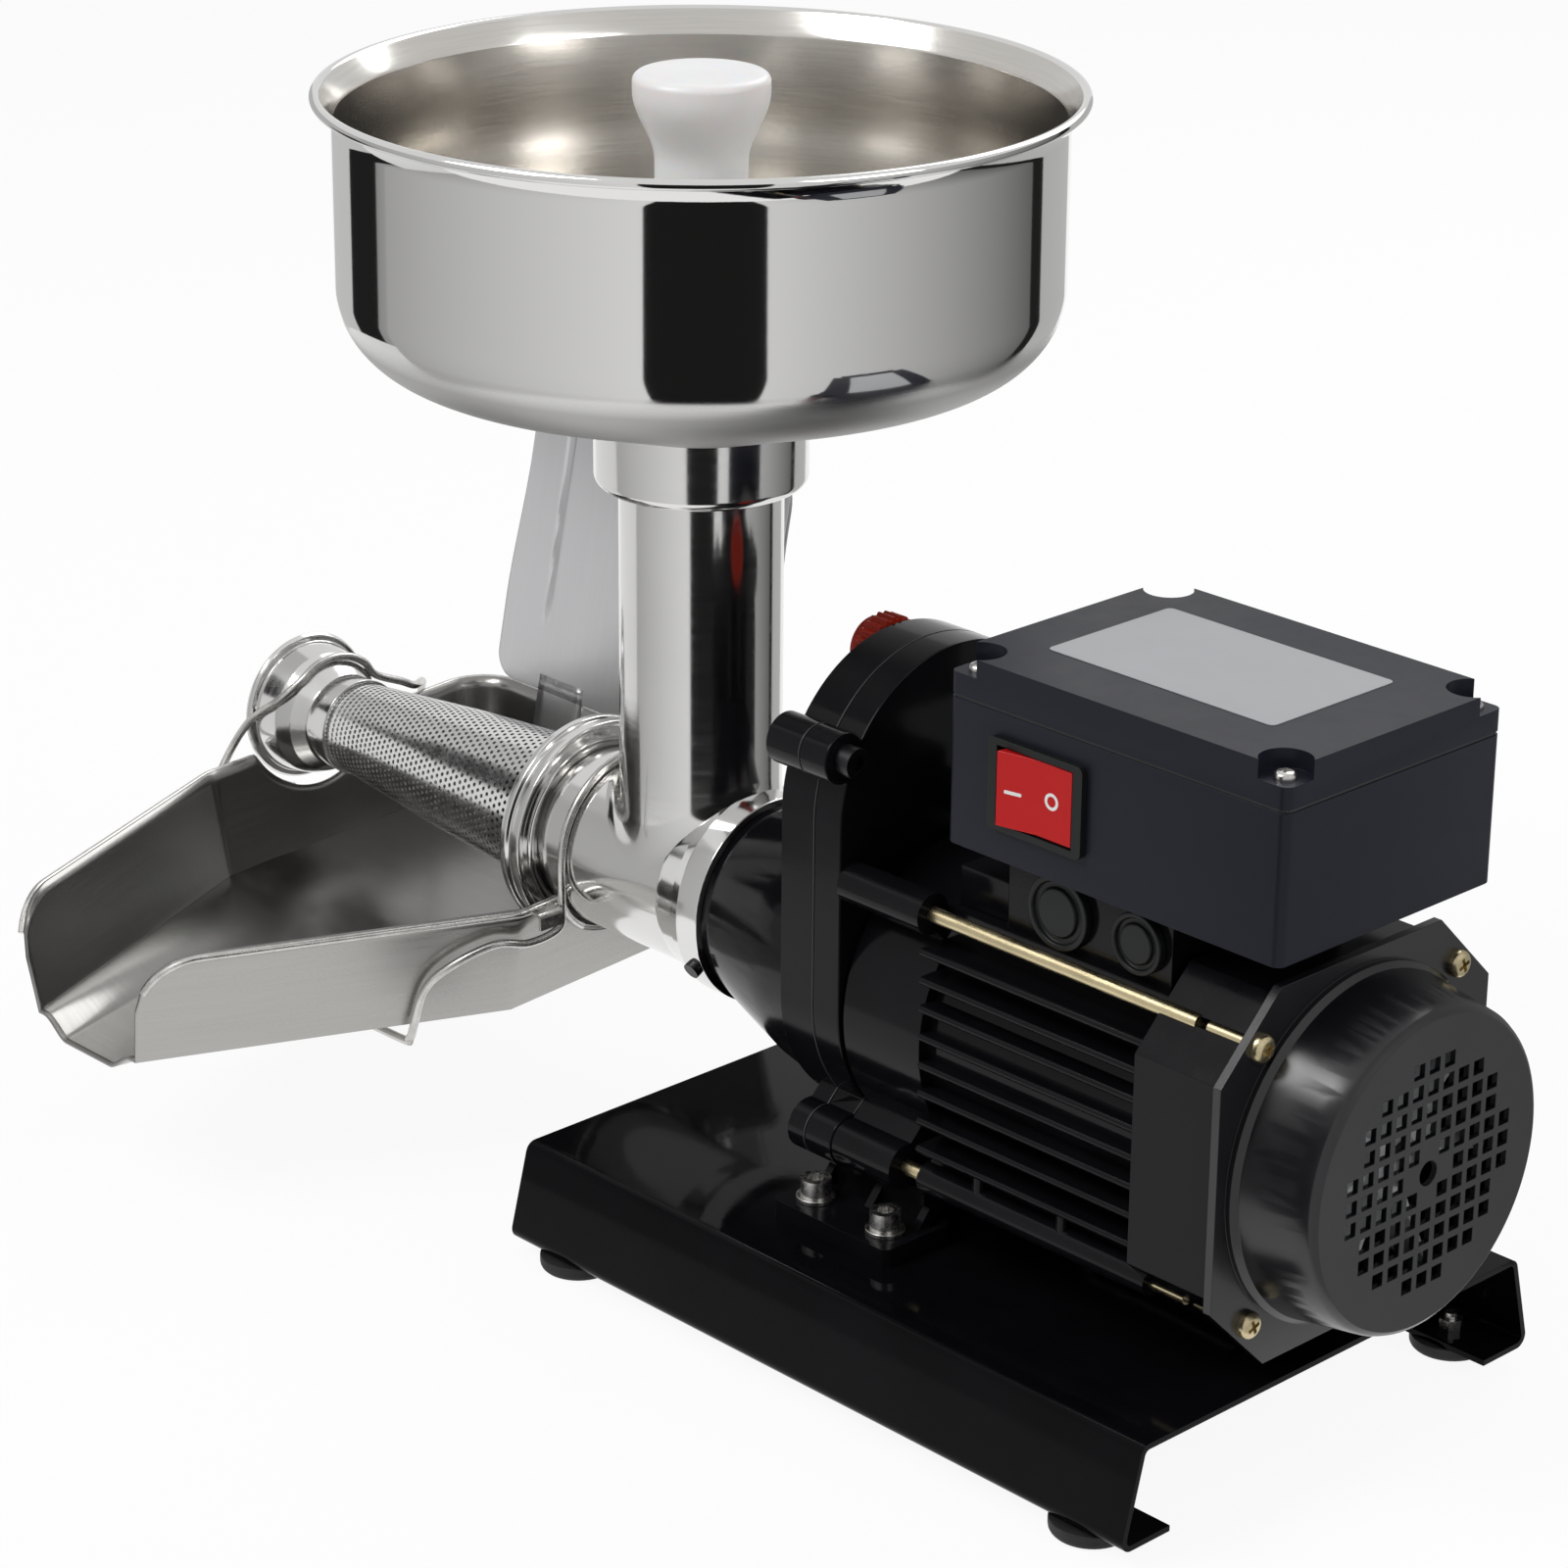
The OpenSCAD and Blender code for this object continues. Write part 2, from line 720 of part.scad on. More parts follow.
module gearbox_gasket() {
    color("#3a3f46") difference() {
        union() {
            along_x(case_split_x - gasket_t / 2, gasket_t) case_outline(case_r);
            case_lugs(case_split_x - gasket_t / 2, case_split_x + gasket_t / 2);
            low_lugs(case_split_x - gasket_t / 2, case_split_x + gasket_t / 2);
        }
        along_x(case_split_x - over, 2 * over) case_outline(case_r - case_wall);
        top_holes(case_split_x - over, case_split_x + over);
        low_holes(case_split_x - over, case_split_x + over);
    }
}

module gearbox_rear() {
    x0 = case_split_x + gasket_t / 2;
    color("#1b1b1f") difference() {
        union() {
            along_x(x0, case_rear_x - x0) case_outline(case_r);
            case_lugs(x0, case_rear_x);
            low_lugs(x0, case_rear_x);
        }
        along_x(x0 - over, case_in_rear_x - x0 + over) difference() {
            case_outline(case_r - case_wall);
            translate([0, lay_z]) circle(bush_boss_r);
            translate([0, axis_z]) circle(motor_seal_r + case_wall);
        }
        bar(x0 - over, wheel_in_x + gear_w + gear_gap / 2, bush_boss_r + over, 0, lay_z);
        bar(x0 - over, wheel_in_x + gear_w + gear_gap / 2, motor_seal_r + case_wall + over);
        bar(x0 - over, case_rear_x - bush_floor, bush_r, 0, lay_z);
        bar(x0 - over, case_rear_x - bush_floor, motor_seal_r);
        bar(x0 - over, case_rear_x + over, rotor_shaft_r + air_gap);
        top_holes(x0 - over, case_rear_x + over);
        low_holes(x0 - over, case_rear_x + over);
    }
}

// Socket-head screws that close the gearbox at its upper lugs
module gearbox_screws() {
    color("#3c3c42") for (y = [-lug_top_y, lug_top_y]) difference() {
        union() {
            bar(case_rear_x, case_rear_x + case_head_h, case_head_r, y, lug_top_z);
            bar(case_front_x + case_wall + over, case_rear_x + over, case_screw_r, y, lug_top_z);
        }
        translate([case_rear_x + case_head_h / 2, y, lug_top_z]) rotate([0, 90, 0])
            cylinder(h = case_head_h, r = case_screw_r, $fn = 6);
    }
}

// Toothed filler plug: a wide grip ring, a narrower cap and a threaded neck
module oil_plug() {
    z = lay_z + case_r - plug_drop;
    teeth = [for (i = [0:4 * plug_teeth - 1]) let (a = 90 * i / plug_teeth,
        r = plug_r - (i % 4 < 2 ? 0 : plug_tooth)) [r * cos(a), r * sin(a)]];
    color("#d8412c") {
        translate([0, 0, z]) along_x(case_front_x - plug_ring_t - plug_head_len * 0.55,
            plug_head_len * 0.55) polygon(teeth);
        turned([[0, case_front_x - plug_head_len], [plug_r * 0.68, case_front_x - plug_head_len],
            [plug_r * 0.8, case_front_x - plug_head_len * 0.92],
            [plug_r * 0.8, case_front_x - plug_ring_t - over], [0, case_front_x - plug_ring_t - over]], z);
        bar(case_front_x - plug_ring_t - over, case_front_x + plug_neck_len, plug_neck_r, 0, z);
    }
}

module oil_plug_ring() {
    color("#101010") ring_x(case_front_x - plug_ring_t, case_front_x, plug_r * 0.8,
        plug_neck_r + bolt_gap, 0, lay_z + case_r - plug_drop);
}

// Pins that lock the feed body on the nose
module bayonet_pins() {
    color("#222226") for (a = [pin_tilt, pin_tilt + 180])
        translate([(nose_x + spigot_x) / 2, 0, axis_z]) rotate([a, 0, 0])
            translate([0, 0, seal_r + over])
                cylinder(h = collar_sleeve_r + over - seal_r, r = pin_r, $fn = 32);
}

module output_seal() {
    color("#6b3a2a") ring_x(spigot_x, spigot_x + seal_w, seal_r, output_r + run_gap);
}

module output_bearings() {
    color("#c9ccd1") {
        ring_x(nose_x + seal_w, nose_x + seal_w + bearing_w, bearing_r, output_r + run_gap);
        ring_x(case_front_x - bearing_w, case_front_x, bearing_r, output_r + run_gap);
    }
}

module bearing_spacer() {
    color("#8a8d92") ring_x(nose_x + seal_w + bearing_w, case_front_x - bearing_w,
        bearing_r, bearing_r - case_wall);
}

module layshaft_bushes() {
    color("#b8863b") {
        ring_x(case_front_x + bush_floor, case_front_x + bush_floor + bush_len, bush_r,
            layshaft_r + run_gap, 0, lay_z);
        ring_x(case_rear_x - bush_floor - bush_len, case_rear_x - bush_floor, bush_r,
            layshaft_r + run_gap, 0, lay_z);
    }
}

module motor_seal() {
    color("#6b3a2a") ring_x(case_rear_x - bush_floor - bush_len, case_rear_x - bush_floor,
        motor_seal_r, rotor_shaft_r + run_gap);
}

module motor_bearings() {
    color("#c9ccd1") {
        ring_x(front_bearing_x, front_bearing_x + motor_bearing_w, motor_bearing_r,
            rotor_shaft_r + run_gap);
        ring_x(rear_bearing_x, rear_bearing_x + motor_bearing_w, motor_bearing_r,
            rotor_shaft_r + run_gap);
    }
}

// Shaft with a square socket for the auger
module output_shaft() {
    color("#9ea1a6") difference() {
        bar(spigot_x - over, case_split_x, output_r);
        translate([spigot_x - 2 * over, -drive_side / 2, axis_z - drive_side / 2])
            cube([drive_len + 2 * over, drive_side, drive_side]);
    }
}

// Angle in degrees by which an involute of base radius b has turned at radius r
function involute(b, r) = let (t = sqrt(max(0, pow(r / b, 2) - 1))) t * 180 / PI - atan(t);

// Outline of a spur gear whose first tooth points along angle a0
function gear_outline(teeth, a0) =
    let (pitch = gear_module * teeth / 2, base = pitch * cos(20), tip = pitch + gear_module,
         root = pitch - 1.25 * gear_module, low = max(base, root),
         half = 90 / teeth + involute(base, pitch) - backlash / pitch * 90 / PI)
    [for (k = [0:teeth - 1], side = [-1, 1], i = [0:4])
        let (j = side < 0 ? i : 4 - i, r = j == 0 ? root : low + (tip - low) * (j - 1) / 3,
             a = a0 + 360 * k / teeth + side * (half - involute(base, max(r, low))))
        [r * cos(a), r * sin(a)]];

module spur_gear(x0, teeth, z, bore, a0) {
    difference() {
        translate([0, 0, z]) along_x(x0, gear_w) polygon(gear_outline(teeth, a0));
        bar(x0 - over, x0 + gear_w + over, bore, 0, z);
    }
}

// Large gear with a turned web and six lightening holes
module wheel(x0, z, bore, a0) {
    pitch = gear_module * wheel_teeth / 2;
    difference() {
        spur_gear(x0, wheel_teeth, z, bore, a0);
        for (x = [x0 - over, x0 + gear_w * 0.7]) ring_x(x, x + gear_w * 0.3 + over,
            pitch - 3 * gear_module, bore + 2 * gear_module + case_wall, 0, z);
        for (a = [0:60:300]) translate([x0 - over, 0, z]) rotate([a, 0, 0])
            translate([0, 0, pitch * 0.62]) rotate([0, 90, 0])
                cylinder(h = gear_w + 2 * over, r = pitch * 0.11, $fn = 32);
    }
}

module output_gear() {
    color("#7f8288") wheel(wheel_out_x, axis_z, output_r, 90 + 180 / wheel_teeth);
}

module layshaft_pinion() {
    color("#8d9096") spur_gear(wheel_out_x, pinion_teeth, lay_z, layshaft_r, 270);
}

module layshaft_gear() {
    color("#7f8288") wheel(wheel_in_x, lay_z, layshaft_r, 270 + 180 / wheel_teeth);
}

module motor_pinion() {
    color("#8d9096") spur_gear(wheel_in_x, pinion_teeth, axis_z, rotor_shaft_r, 90);
}

module layshaft() {
    color("#9ea1a6") bar(case_front_x + bush_floor + seat_gap, case_rear_x - bush_floor - seat_gap,
        layshaft_r, 0, lay_z);
}

module rotor_shaft() {
    color("#9ea1a6") bar(wheel_in_x, rotor_end_x, rotor_shaft_r);
}

module rotor_core() {
    mid = stator_x + stator_len / 2;
    color("#8b8f96") difference() {
        union() {
            bar(mid - stator_core_len / 2, mid + stator_core_len / 2, rotor_r);
            bar(mid - stator_core_len / 2 - winding_len / 2, mid + stator_core_len / 2 + winding_len / 2,
                0.85 * rotor_r);
        }
        bar(mid - stator_core_len, mid + stator_core_len, rotor_shaft_r);
    }
}

module motor_front_shield() {
    color("#1c1c20") difference() {
        union() {
            turned([[0, motor_x], [shield_r - shield_wall / 2, motor_x],
                [shield_r, motor_x + shield_wall / 2], [shield_r, stator_x], [0, stator_x]]);
            tie_lugs(motor_x, stator_x - lug_low_end, lug_low_r, [-45, 45]);
            tie_lugs(motor_x, stator_x, lug_r * 0.8, [-135, 135]);
        }
        difference() {
            bar(motor_x + shield_wall, stator_x + over, shield_r - shield_wall);
            bar(motor_x, front_bearing_x + motor_bearing_w, bearing_hub_r);
        }
        bar(front_bearing_x, stator_x, motor_bearing_r);
        bar(motor_x - over, stator_x, rotor_shaft_r + air_gap);
        for (y = [-tie_offset, tie_offset]) {
            bar(motor_x - over, stator_x + over, tie_r + bolt_gap, y, axis_z - tie_offset);
            bar(motor_x + shield_wall, stator_x + over, tie_r + bolt_gap, y, axis_z + tie_offset);
        }
    }
}

// Extruded housing: a tube with flat fins on both sides and a pad on top
module stator_housing() {
    color("#1d1d21") difference() {
        union() {
            along_x(stator_x, stator_len) {
                    translate([0, axis_z]) circle(stator_r);
                    for (i = [0:fin_count - 1], s = [-1, 1])
                        let (z = (i - (fin_count - 1) / 2) * fin_pitch)
                        translate([s > 0 ? 0 : -fin_reach + fin_t / 2, axis_z + z - fin_t / 2])
                            square([fin_reach - fin_t / 2, fin_t]);
                    for (i = [0:fin_count - 1], s = [-1, 1])
                        translate([s * (fin_reach - fin_t / 2),
                            axis_z + (i - (fin_count - 1) / 2) * fin_pitch]) circle(fin_t / 2, $fn = 24);
                    translate([-pedestal_half, axis_z])
                        square([2 * pedestal_half, stator_r + stator_pad_h]);
                    for (s = [-1, 1]) {
                        translate([s * tie_offset, axis_z - tie_offset]) circle(2 * tie_r);
                        translate([0, axis_z]) rotate(s * 45) translate([-tie_r, -tie_reach])
                            square([2 * tie_r, tie_reach - stator_r + shield_wall]);
                    }
            }
            for (x = [0.25, 0.62], s = [-1, 1])
                translate([stator_x + x * stator_len, s * fin_reach * 0.92,
                    axis_z - (fin_count - 1) / 2 * fin_pitch - pin_post_len])
                    cylinder(h = pin_post_len, r = pin_post_r, $fn = 24);
        }
        bar(stator_x - over, end_shield_x + over, stator_bore_r);
        low_holes(stator_x - over, end_shield_x + over);
    }
}

// Laminated ring with open slots round the rotor
module stator_core() {
    x0 = stator_x + (stator_len - stator_core_len) / 2;
    color("#6f7379") along_x(x0, stator_core_len) difference() {
        translate([0, axis_z]) circle(stator_bore_r);
        translate([0, axis_z]) circle(rotor_r + air_gap);
        translate([0, axis_z]) for (i = [0:core_slot_count - 1]) rotate(360 * i / core_slot_count)
            translate([rotor_r, -core_slot_w / 2]) square([core_slot_depth, core_slot_w]);
    }
}

module stator_windings() {
    x0 = stator_x + (stator_len - stator_core_len) / 2;
    color("#a8552c") for (x = [x0 - winding_len, x0 + stator_core_len]) {
        turned([[rotor_r + 2 * air_gap, x + winding_len * 0.1], [rotor_r + winding_len * 0.3, x],
            [stator_bore_r - winding_len * 0.3, x], [stator_bore_r - 2 * air_gap, x + winding_len * 0.2],
            [stator_bore_r - 2 * air_gap, x + winding_len * 0.8],
            [stator_bore_r - winding_len * 0.3, x + winding_len], [rotor_r + winding_len * 0.3, x + winding_len],
            [rotor_r + 2 * air_gap, x + winding_len * 0.9]]);
    }
}

module rear_end_shield() {
    h = cowl_half - end_shield_inset;
    color("#1c1c20") difference() {
        along_x(end_shield_x, end_shield_len) difference() {
            translate([0, axis_z]) polygon(cut_square(h, cowl_chamfer - end_shield_inset / 2));
            translate([0, axis_z]) circle(rotor_shaft_r + air_gap);
        }
        bar(end_shield_x - over, rear_bearing_x, stator_bore_r);
        bar(rear_bearing_x - over, rear_bearing_x + motor_bearing_w, motor_bearing_r);
        for (y = [-tie_offset, tie_offset], z = [-tie_offset, tie_offset]) {
            bar(end_shield_x - over, cowl_x + over, cowl_screw_r + bolt_gap, y, axis_z + z);
            bar(end_shield_x - over, end_shield_x + tie_pocket, tie_r + bolt_gap, y, axis_z + z);
        }
    }
}

module tie_rods() {
    color("#c9b36a") for (y = [-tie_offset, tie_offset]) {
        bar(motor_x + shield_wall + bolt_gap, end_shield_x + tie_pocket - bolt_gap, tie_r, y,
            axis_z + tie_offset);
        bar(case_rear_x - lug_low_len + over + bolt_gap, end_shield_x + tie_pocket - bolt_gap, tie_r, y,
            axis_z - tie_offset);
    }
}

// Fan with straight radial blades on a disc
module cooling_fan() {
    color("#a9acaf") difference() {
        union() {
            bar(fan_x, fan_x + fan_hub_len, fan_hub_r);
            bar(fan_x, fan_x + blade_t, blade_r * 0.72);
            for (i = [0:blade_count - 1]) translate([fan_x, 0, axis_z]) rotate([360 * i / blade_count, 0, 0])
                translate([0, -blade_t / 2, fan_hub_r - over]) cube([blade_w, blade_t, blade_r - fan_hub_r + over]);
        }
        bar(fan_x - over, fan_x + fan_hub_len + over, rotor_shaft_r);
    }
}

// Centres of the grille's square holes: all that lie whole inside the grilled area
grille_n = floor(grille_r / grille_pitch);
grille_holes = [for (i = [-grille_n:grille_n], j = [-grille_n:grille_n])
    let (y = i * grille_pitch, z = j * grille_pitch, c = grille_hole / 2)
    if (norm([abs(y) + c, abs(z) + c]) < grille_r && norm([y, z]) > hub_plain_r) [y, z]];

module fan_cowl() {
    color("#1b1b1f") difference() {
        union() {
            along_x(cowl_x, cowl_plate_t) translate([0, axis_z])
                polygon(cut_square(cowl_half, cowl_chamfer));
            turned([[0, cowl_x], [cowl_root_r + cowl_step, cowl_x],
                [cowl_root_r + cowl_step, cowl_drum_x + cowl_step], [cowl_root_r, cowl_drum_x + 2 * cowl_step],
                [cowl_end_r + cowl_edge / 3, cowl_end_x - cowl_edge],
                [cowl_end_r, cowl_end_x - cowl_edge / 3], [cowl_end_r - cowl_edge / 2, cowl_end_x],
                [0, cowl_end_x]]);
        }
        turned([[0, cowl_x - over], [cowl_root_r - cowl_wall, cowl_x - over],
            [cowl_root_r - cowl_wall, cowl_drum_x], [cowl_end_r - cowl_wall, cowl_end_x - cowl_wall],
            [0, cowl_end_x - cowl_wall]]);
        along_x(cowl_end_x - 2 * cowl_wall, 3 * cowl_wall) translate([0, axis_z]) {
            for (p = grille_holes) translate([p[0] - grille_hole / 2, p[1] - grille_hole / 2])
                square([grille_hole, grille_hole]);
            circle(hub_hole_r);
        }
        for (y = [-tie_offset, tie_offset], z = [-tie_offset, tie_offset])
            bar(cowl_x - over, cowl_drum_x + over, cowl_screw_r + bolt_gap, y, axis_z + z);
    }
}

// Pan head with a cross recess, standing on z = 0, with a shank below it
module pan_screw(shank_r, shank_len, head_r, head_h) {
    difference() {
        union() {
            rotate_extrude($fn = 40) polygon(concat([[0, 0], [head_r, 0], [head_r, head_h * 0.35]],
                [for (i = [1:4]) let (a = 90 * i / 4)
                    [head_r * cos(a * 0.7) , head_h * (0.35 + 0.65 * sin(a))]], [[0, head_h]]));
            translate([0, 0, -shank_len]) cylinder(h = shank_len + head_h / 4, r = shank_r, $fn = 32);
        }
        for (a = [0, 90]) rotate([0, 0, a])
            translate([-head_r * 0.55, -head_r * 0.14, head_h * 0.45]) cube([head_r * 1.1, head_r * 0.28, head_h]);
    }
}

module cowl_screws() {
    color("#d8c88a") for (y = [-tie_offset, tie_offset], z = [-tie_offset, tie_offset])
        translate([cowl_drum_x, y, axis_z + z]) rotate([0, 90, 0]) rotate([0, 0, 20])
            pan_screw(cowl_screw_r, end_shield_len - tie_pocket - over, cowl_head_r, cowl_head_h);
}

module box_pedestal() {
    pad_z = axis_z + stator_r + stator_pad_h;
    color("#1e1e22") difference() {
        union() {
            translate([pedestal_x0, -pedestal_half, pad_z])
                cube([pedestal_x1 - pedestal_x0, 2 * pedestal_half, box_z - pad_z]);
            translate([pedestal_step_x0, -pedestal_step_half, pad_z])
                cube([pedestal_x0 - pedestal_step_x0 + over, 2 * pedestal_step_half, pedestal_step_h]);
        }
        translate([pedestal_x0 + pedestal_wall, -pedestal_half + pedestal_wall, pad_z - over])
            cube([pedestal_x1 - pedestal_x0 - 2 * pedestal_wall, 2 * (pedestal_half - pedestal_wall),
                box_z - pad_z + 2 * over]);
        for (p = plug_holes) translate([p[0], -pedestal_half - over, (pad_z + box_z) / 2])
            rotate([-90, 0, 0]) cylinder(h = pedestal_wall + 2 * over, r = p[1] * 0.62 + bolt_gap);
    }
}

// Round blanking plugs with a raised ring, pressed into the pedestal's cable entries
module blanking_plugs() {
    pad_z = axis_z + stator_r + stator_pad_h;
    color("#202024") for (p = plug_holes) translate([p[0], -pedestal_half, (pad_z + box_z) / 2])
        rotate([90, 0, 0]) rotate_extrude() polygon([[0, -pedestal_wall], [p[1] * 0.62, -pedestal_wall],
            [p[1] * 0.62, 0], [p[1], 0], [p[1], knock_t], [p[1] * 0.84, knock_t],
            [p[1] * 0.8, knock_groove], [p[1] * 0.66, knock_groove], [p[1] * 0.62, knock_t], [0, knock_t]]);
}

box_mid_x = box_x0 + box_len / 2;
lid_dx = box_len / 2 - lid_screw_inset;
lid_dy = box_half_w - lid_screw_inset;

module box_corners() {
    for (x = [-lid_dx, lid_dx], y = [-lid_dy, lid_dy]) translate([box_mid_x + x, y, 0]) children();
}

module box_slab(z0, h, inset, r) {
    translate([box_mid_x, 0, z0]) linear_extrude(h)
        polygon(round_rect(box_len - 2 * inset, 2 * (box_half_w - inset), r, 4));
}

module terminal_box() {
    color("#26262e") difference() {
        box_slab(box_z, tub_h, 0, box_corner_r);
        difference() {
            box_slab(box_z + box_wall, tub_h, box_wall, box_corner_r / 2);
            for (x = [-1, 1], y = [-1, 1])
                translate([box_mid_x + x * (box_len / 2 - box_post / 2) - box_post / 2,
                    y * (box_half_w - box_post / 2) - box_post / 2, box_z])
                    cube([box_post, box_post, tub_h]);
        }
        box_corners() translate([0, 0, lid_z - lid_screw_len])
            cylinder(h = lid_screw_len + over, r = lid_screw_r + bolt_gap, $fn = 24);
        translate([bezel_mid_x - rocker_w / 2 - switch_rim, -box_half_w - over, bezel_mid_z - rocker_h / 2 - switch_rim])
            cube([rocker_w + 2 * switch_rim, box_wall + 2 * over, rocker_h + 2 * switch_rim]);
        translate([box_mid_x, 0, box_z - over]) cylinder(h = box_wall + 2 * over, r = pedestal_half / 2);
        translate([box_mid_x, box_half_w - box_wall - over, box_z + tub_h / 2]) rotate([-90, 0, 0])
            cylinder(h = box_wall + 2 * over, r = gland_r * 0.8 + bolt_gap);
    }
}

module box_gasket() {
    color("#2b2b2f") difference() {
        box_slab(lid_z, lid_gasket_t, 0.2 * box_wall, box_corner_r);
        box_slab(lid_z - over, lid_gasket_t + 2 * over, box_wall, box_corner_r / 2);
        box_corners() translate([0, 0, lid_z - over])
            cylinder(h = lid_gasket_t + 2 * over, r = lid_screw_r + bolt_gap, $fn = 24);
    }
}

module box_lid() {
    z0 = lid_z + lid_gasket_t;
    h = lid_h - lid_gasket_t;
    color("#2c2c34") difference() {
        box_slab(z0, h, 0, box_corner_r);
        difference() {
            box_slab(z0 - over, h - box_wall + over, box_wall, box_corner_r / 2);
            box_corners() translate([0, 0, z0]) cylinder(h = h, r = lid_notch_r + box_wall, $fn = 40);
        }
        box_corners() translate([0, 0, z0 + h - lid_notch_depth])
            cylinder(h = lid_notch_depth + over, r = lid_notch_r, $fn = 40);
        box_corners() translate([0, 0, z0 - over]) cylinder(h = h, r = lid_screw_r + bolt_gap, $fn = 24);
    }
}

module lid_screws() {
    color("#d4d4d8") box_corners() translate([0, 0, lid_z + lid_h - lid_notch_depth]) rotate([0, 0, 30])
        pan_screw(lid_screw_r, lid_screw_len, lid_head_r, lid_head_h);
}

// Run capacitor, lying in the box on its floor
module run_capacitor() {
    color("#d9d9d4") translate([box_mid_x + box_len * 0.06, box_half_w * 0.35, box_z + box_wall + capacitor_r])
        rotate([0, 90, 0]) cylinder(h = capacitor_len, r = capacitor_r, center = true);
}

// Cord inlet on the side away from the switch
module cable_gland() {
    color("#1a1a1c") translate([box_mid_x, box_half_w, box_z + tub_h / 2]) rotate([-90, 0, 0]) difference() {
        union() {
            cylinder(h = gland_nut_h, r = gland_r * 1.2, $fn = 6);
            rotate_extrude($fn = 40) polygon([[0, gland_nut_h], [gland_r, gland_nut_h],
                [gland_r, gland_len * 0.7], [gland_r * 0.72, gland_len], [0, gland_len]]);
            translate([0, 0, -box_wall]) cylinder(h = box_wall + over, r = gland_r * 0.8);
        }
        translate([0, 0, -box_wall - over]) cylinder(h = gland_len + box_wall + 2 * over, r = gland_bore, $fn = 40);
    }
}

// Snap-in switch housing: a bezel outside and an open frame behind it
module switch_housing() {
    w = rocker_w + 2 * rocker_gap;
    h = rocker_h + 2 * rocker_gap;
    color("#141416") translate([bezel_mid_x, -box_half_w, bezel_mid_z]) rotate([90, 0, 0]) difference() {
        union() {
            linear_extrude(bezel_t) polygon(round_rect(bezel_w, bezel_h, bezel_t));
            translate([-w / 2 - switch_wall, -h / 2 - switch_wall, -switch_depth])
                cube([w + 2 * switch_wall, h + 2 * switch_wall, switch_depth + bezel_t / 2]);
        }
        translate([-w / 2, -h / 2, -switch_depth + switch_wall]) cube([w, h, switch_depth + bezel_t]);
        translate([0, 0, -rocker_pivot_in]) rotate([90, 0, 0])
            cylinder(h = h + 2 * rocker_pin_len + 2 * run_gap, r = rocker_pin_r + run_gap, center = true, $fn = 32);
    }
}

// Rocker with a hollowed face, turned about its upright pins
module switch_rocker() {
    face = [for (s = [-1:0.5:1]) [s * rocker_w / 2, bezel_t + rocker_rise * (1.5 * abs(s) - 0.5)]];
    color("#d92a2e") translate([bezel_mid_x, -box_half_w + rocker_pivot_in, bezel_mid_z])
        rotate([90, 0, 0]) rotate([0, rocker_tilt, 0]) {
            rotate([90, 0, 0]) linear_extrude(rocker_h, center = true)
                polygon(concat([for (p = face) [p[0] * 0.94, p[1] + rocker_pivot_in]],
                    [[rocker_w * 0.36, -rocker_pivot_in * 0.6], [-rocker_w * 0.36, -rocker_pivot_in * 0.6]]));
            rotate([90, 0, 0]) cylinder(h = rocker_h + 2 * (rocker_gap + rocker_pin_len), r = rocker_pin_r,
                center = true, $fn = 32);
        }
}

// Feed body: a horizontal tube with clamp flange and rear sleeve, and the feed tube
module feed_body() {
    color("#c3c6ca") difference() {
        union() {
            turned([[0, neck_front_x], [neck_flange_r, neck_front_x], [neck_flange_r, neck_front_x + neck_flange_t],
                [neck_r, neck_front_x + neck_flange_t], [neck_r, feed_axis_x + tube_r * 0.5],
                [collar_sleeve_r - feed_wall, spigot_x - spigot_len / 3],
                [collar_sleeve_r, spigot_x + spigot_len / 5], [collar_sleeve_r, nose_x], [0, nose_x]]);
            translate([feed_axis_x, 0, axis_z]) rotate_extrude() polygon([[0, 0], [saddle_r0, 0],
                [saddle_r0 - feed_wall, neck_r * 0.6], [tube_r + feed_wall, neck_r],
                [tube_r, neck_r + saddle_h], [tube_r, tube_top - axis_z], [0, tube_top - axis_z]]);
        }
        bar(neck_front_x - over, spigot_x, neck_in_r);
        bar(spigot_x - seat_gap, nose_x + over, spigot_r + bolt_gap);
        translate([feed_axis_x, 0, axis_z]) cylinder(h = tube_top, r = tube_in_r);
        for (a = [pin_tilt, pin_tilt + 180]) translate([(nose_x + spigot_x) / 2, 0, axis_z])
            rotate([a, 0, 0]) translate([-pin_r - bolt_gap, -pin_r - bolt_gap, seat_gap])
                cube([spigot_len, 2 * (pin_r + bolt_gap), collar_sleeve_r + 2 * over]);
        for (a = [20:120:260]) translate([0, 0, axis_z]) rotate([a, 0, 0])
            translate([neck_front_x - over, -ring_tab * 2, neck_r + over])
                cube([neck_flange_t + 2 * over, ring_tab * 4, neck_flange_r]);
    }
}

// Outer radius of the cone at x, along the two straight stretches of its wall
function cone_at(x) = let (s = (cone_x0 - x) / cone_len)
    s < 0.5 ? cone_r0 + (cone_r1 - cone_r0) * 2 * s : cone_r1 + (cone_r2 - cone_r1) * (2 * s - 1);

// Outer radius of the auger's flight: the tube's bore first, then the cone's
function flight_at(x) = x > cone_x0 ? min(neck_in_r, cone_r0) - cone_wall - auger_gap
    : cone_at(x) - cone_wall - auger_gap;

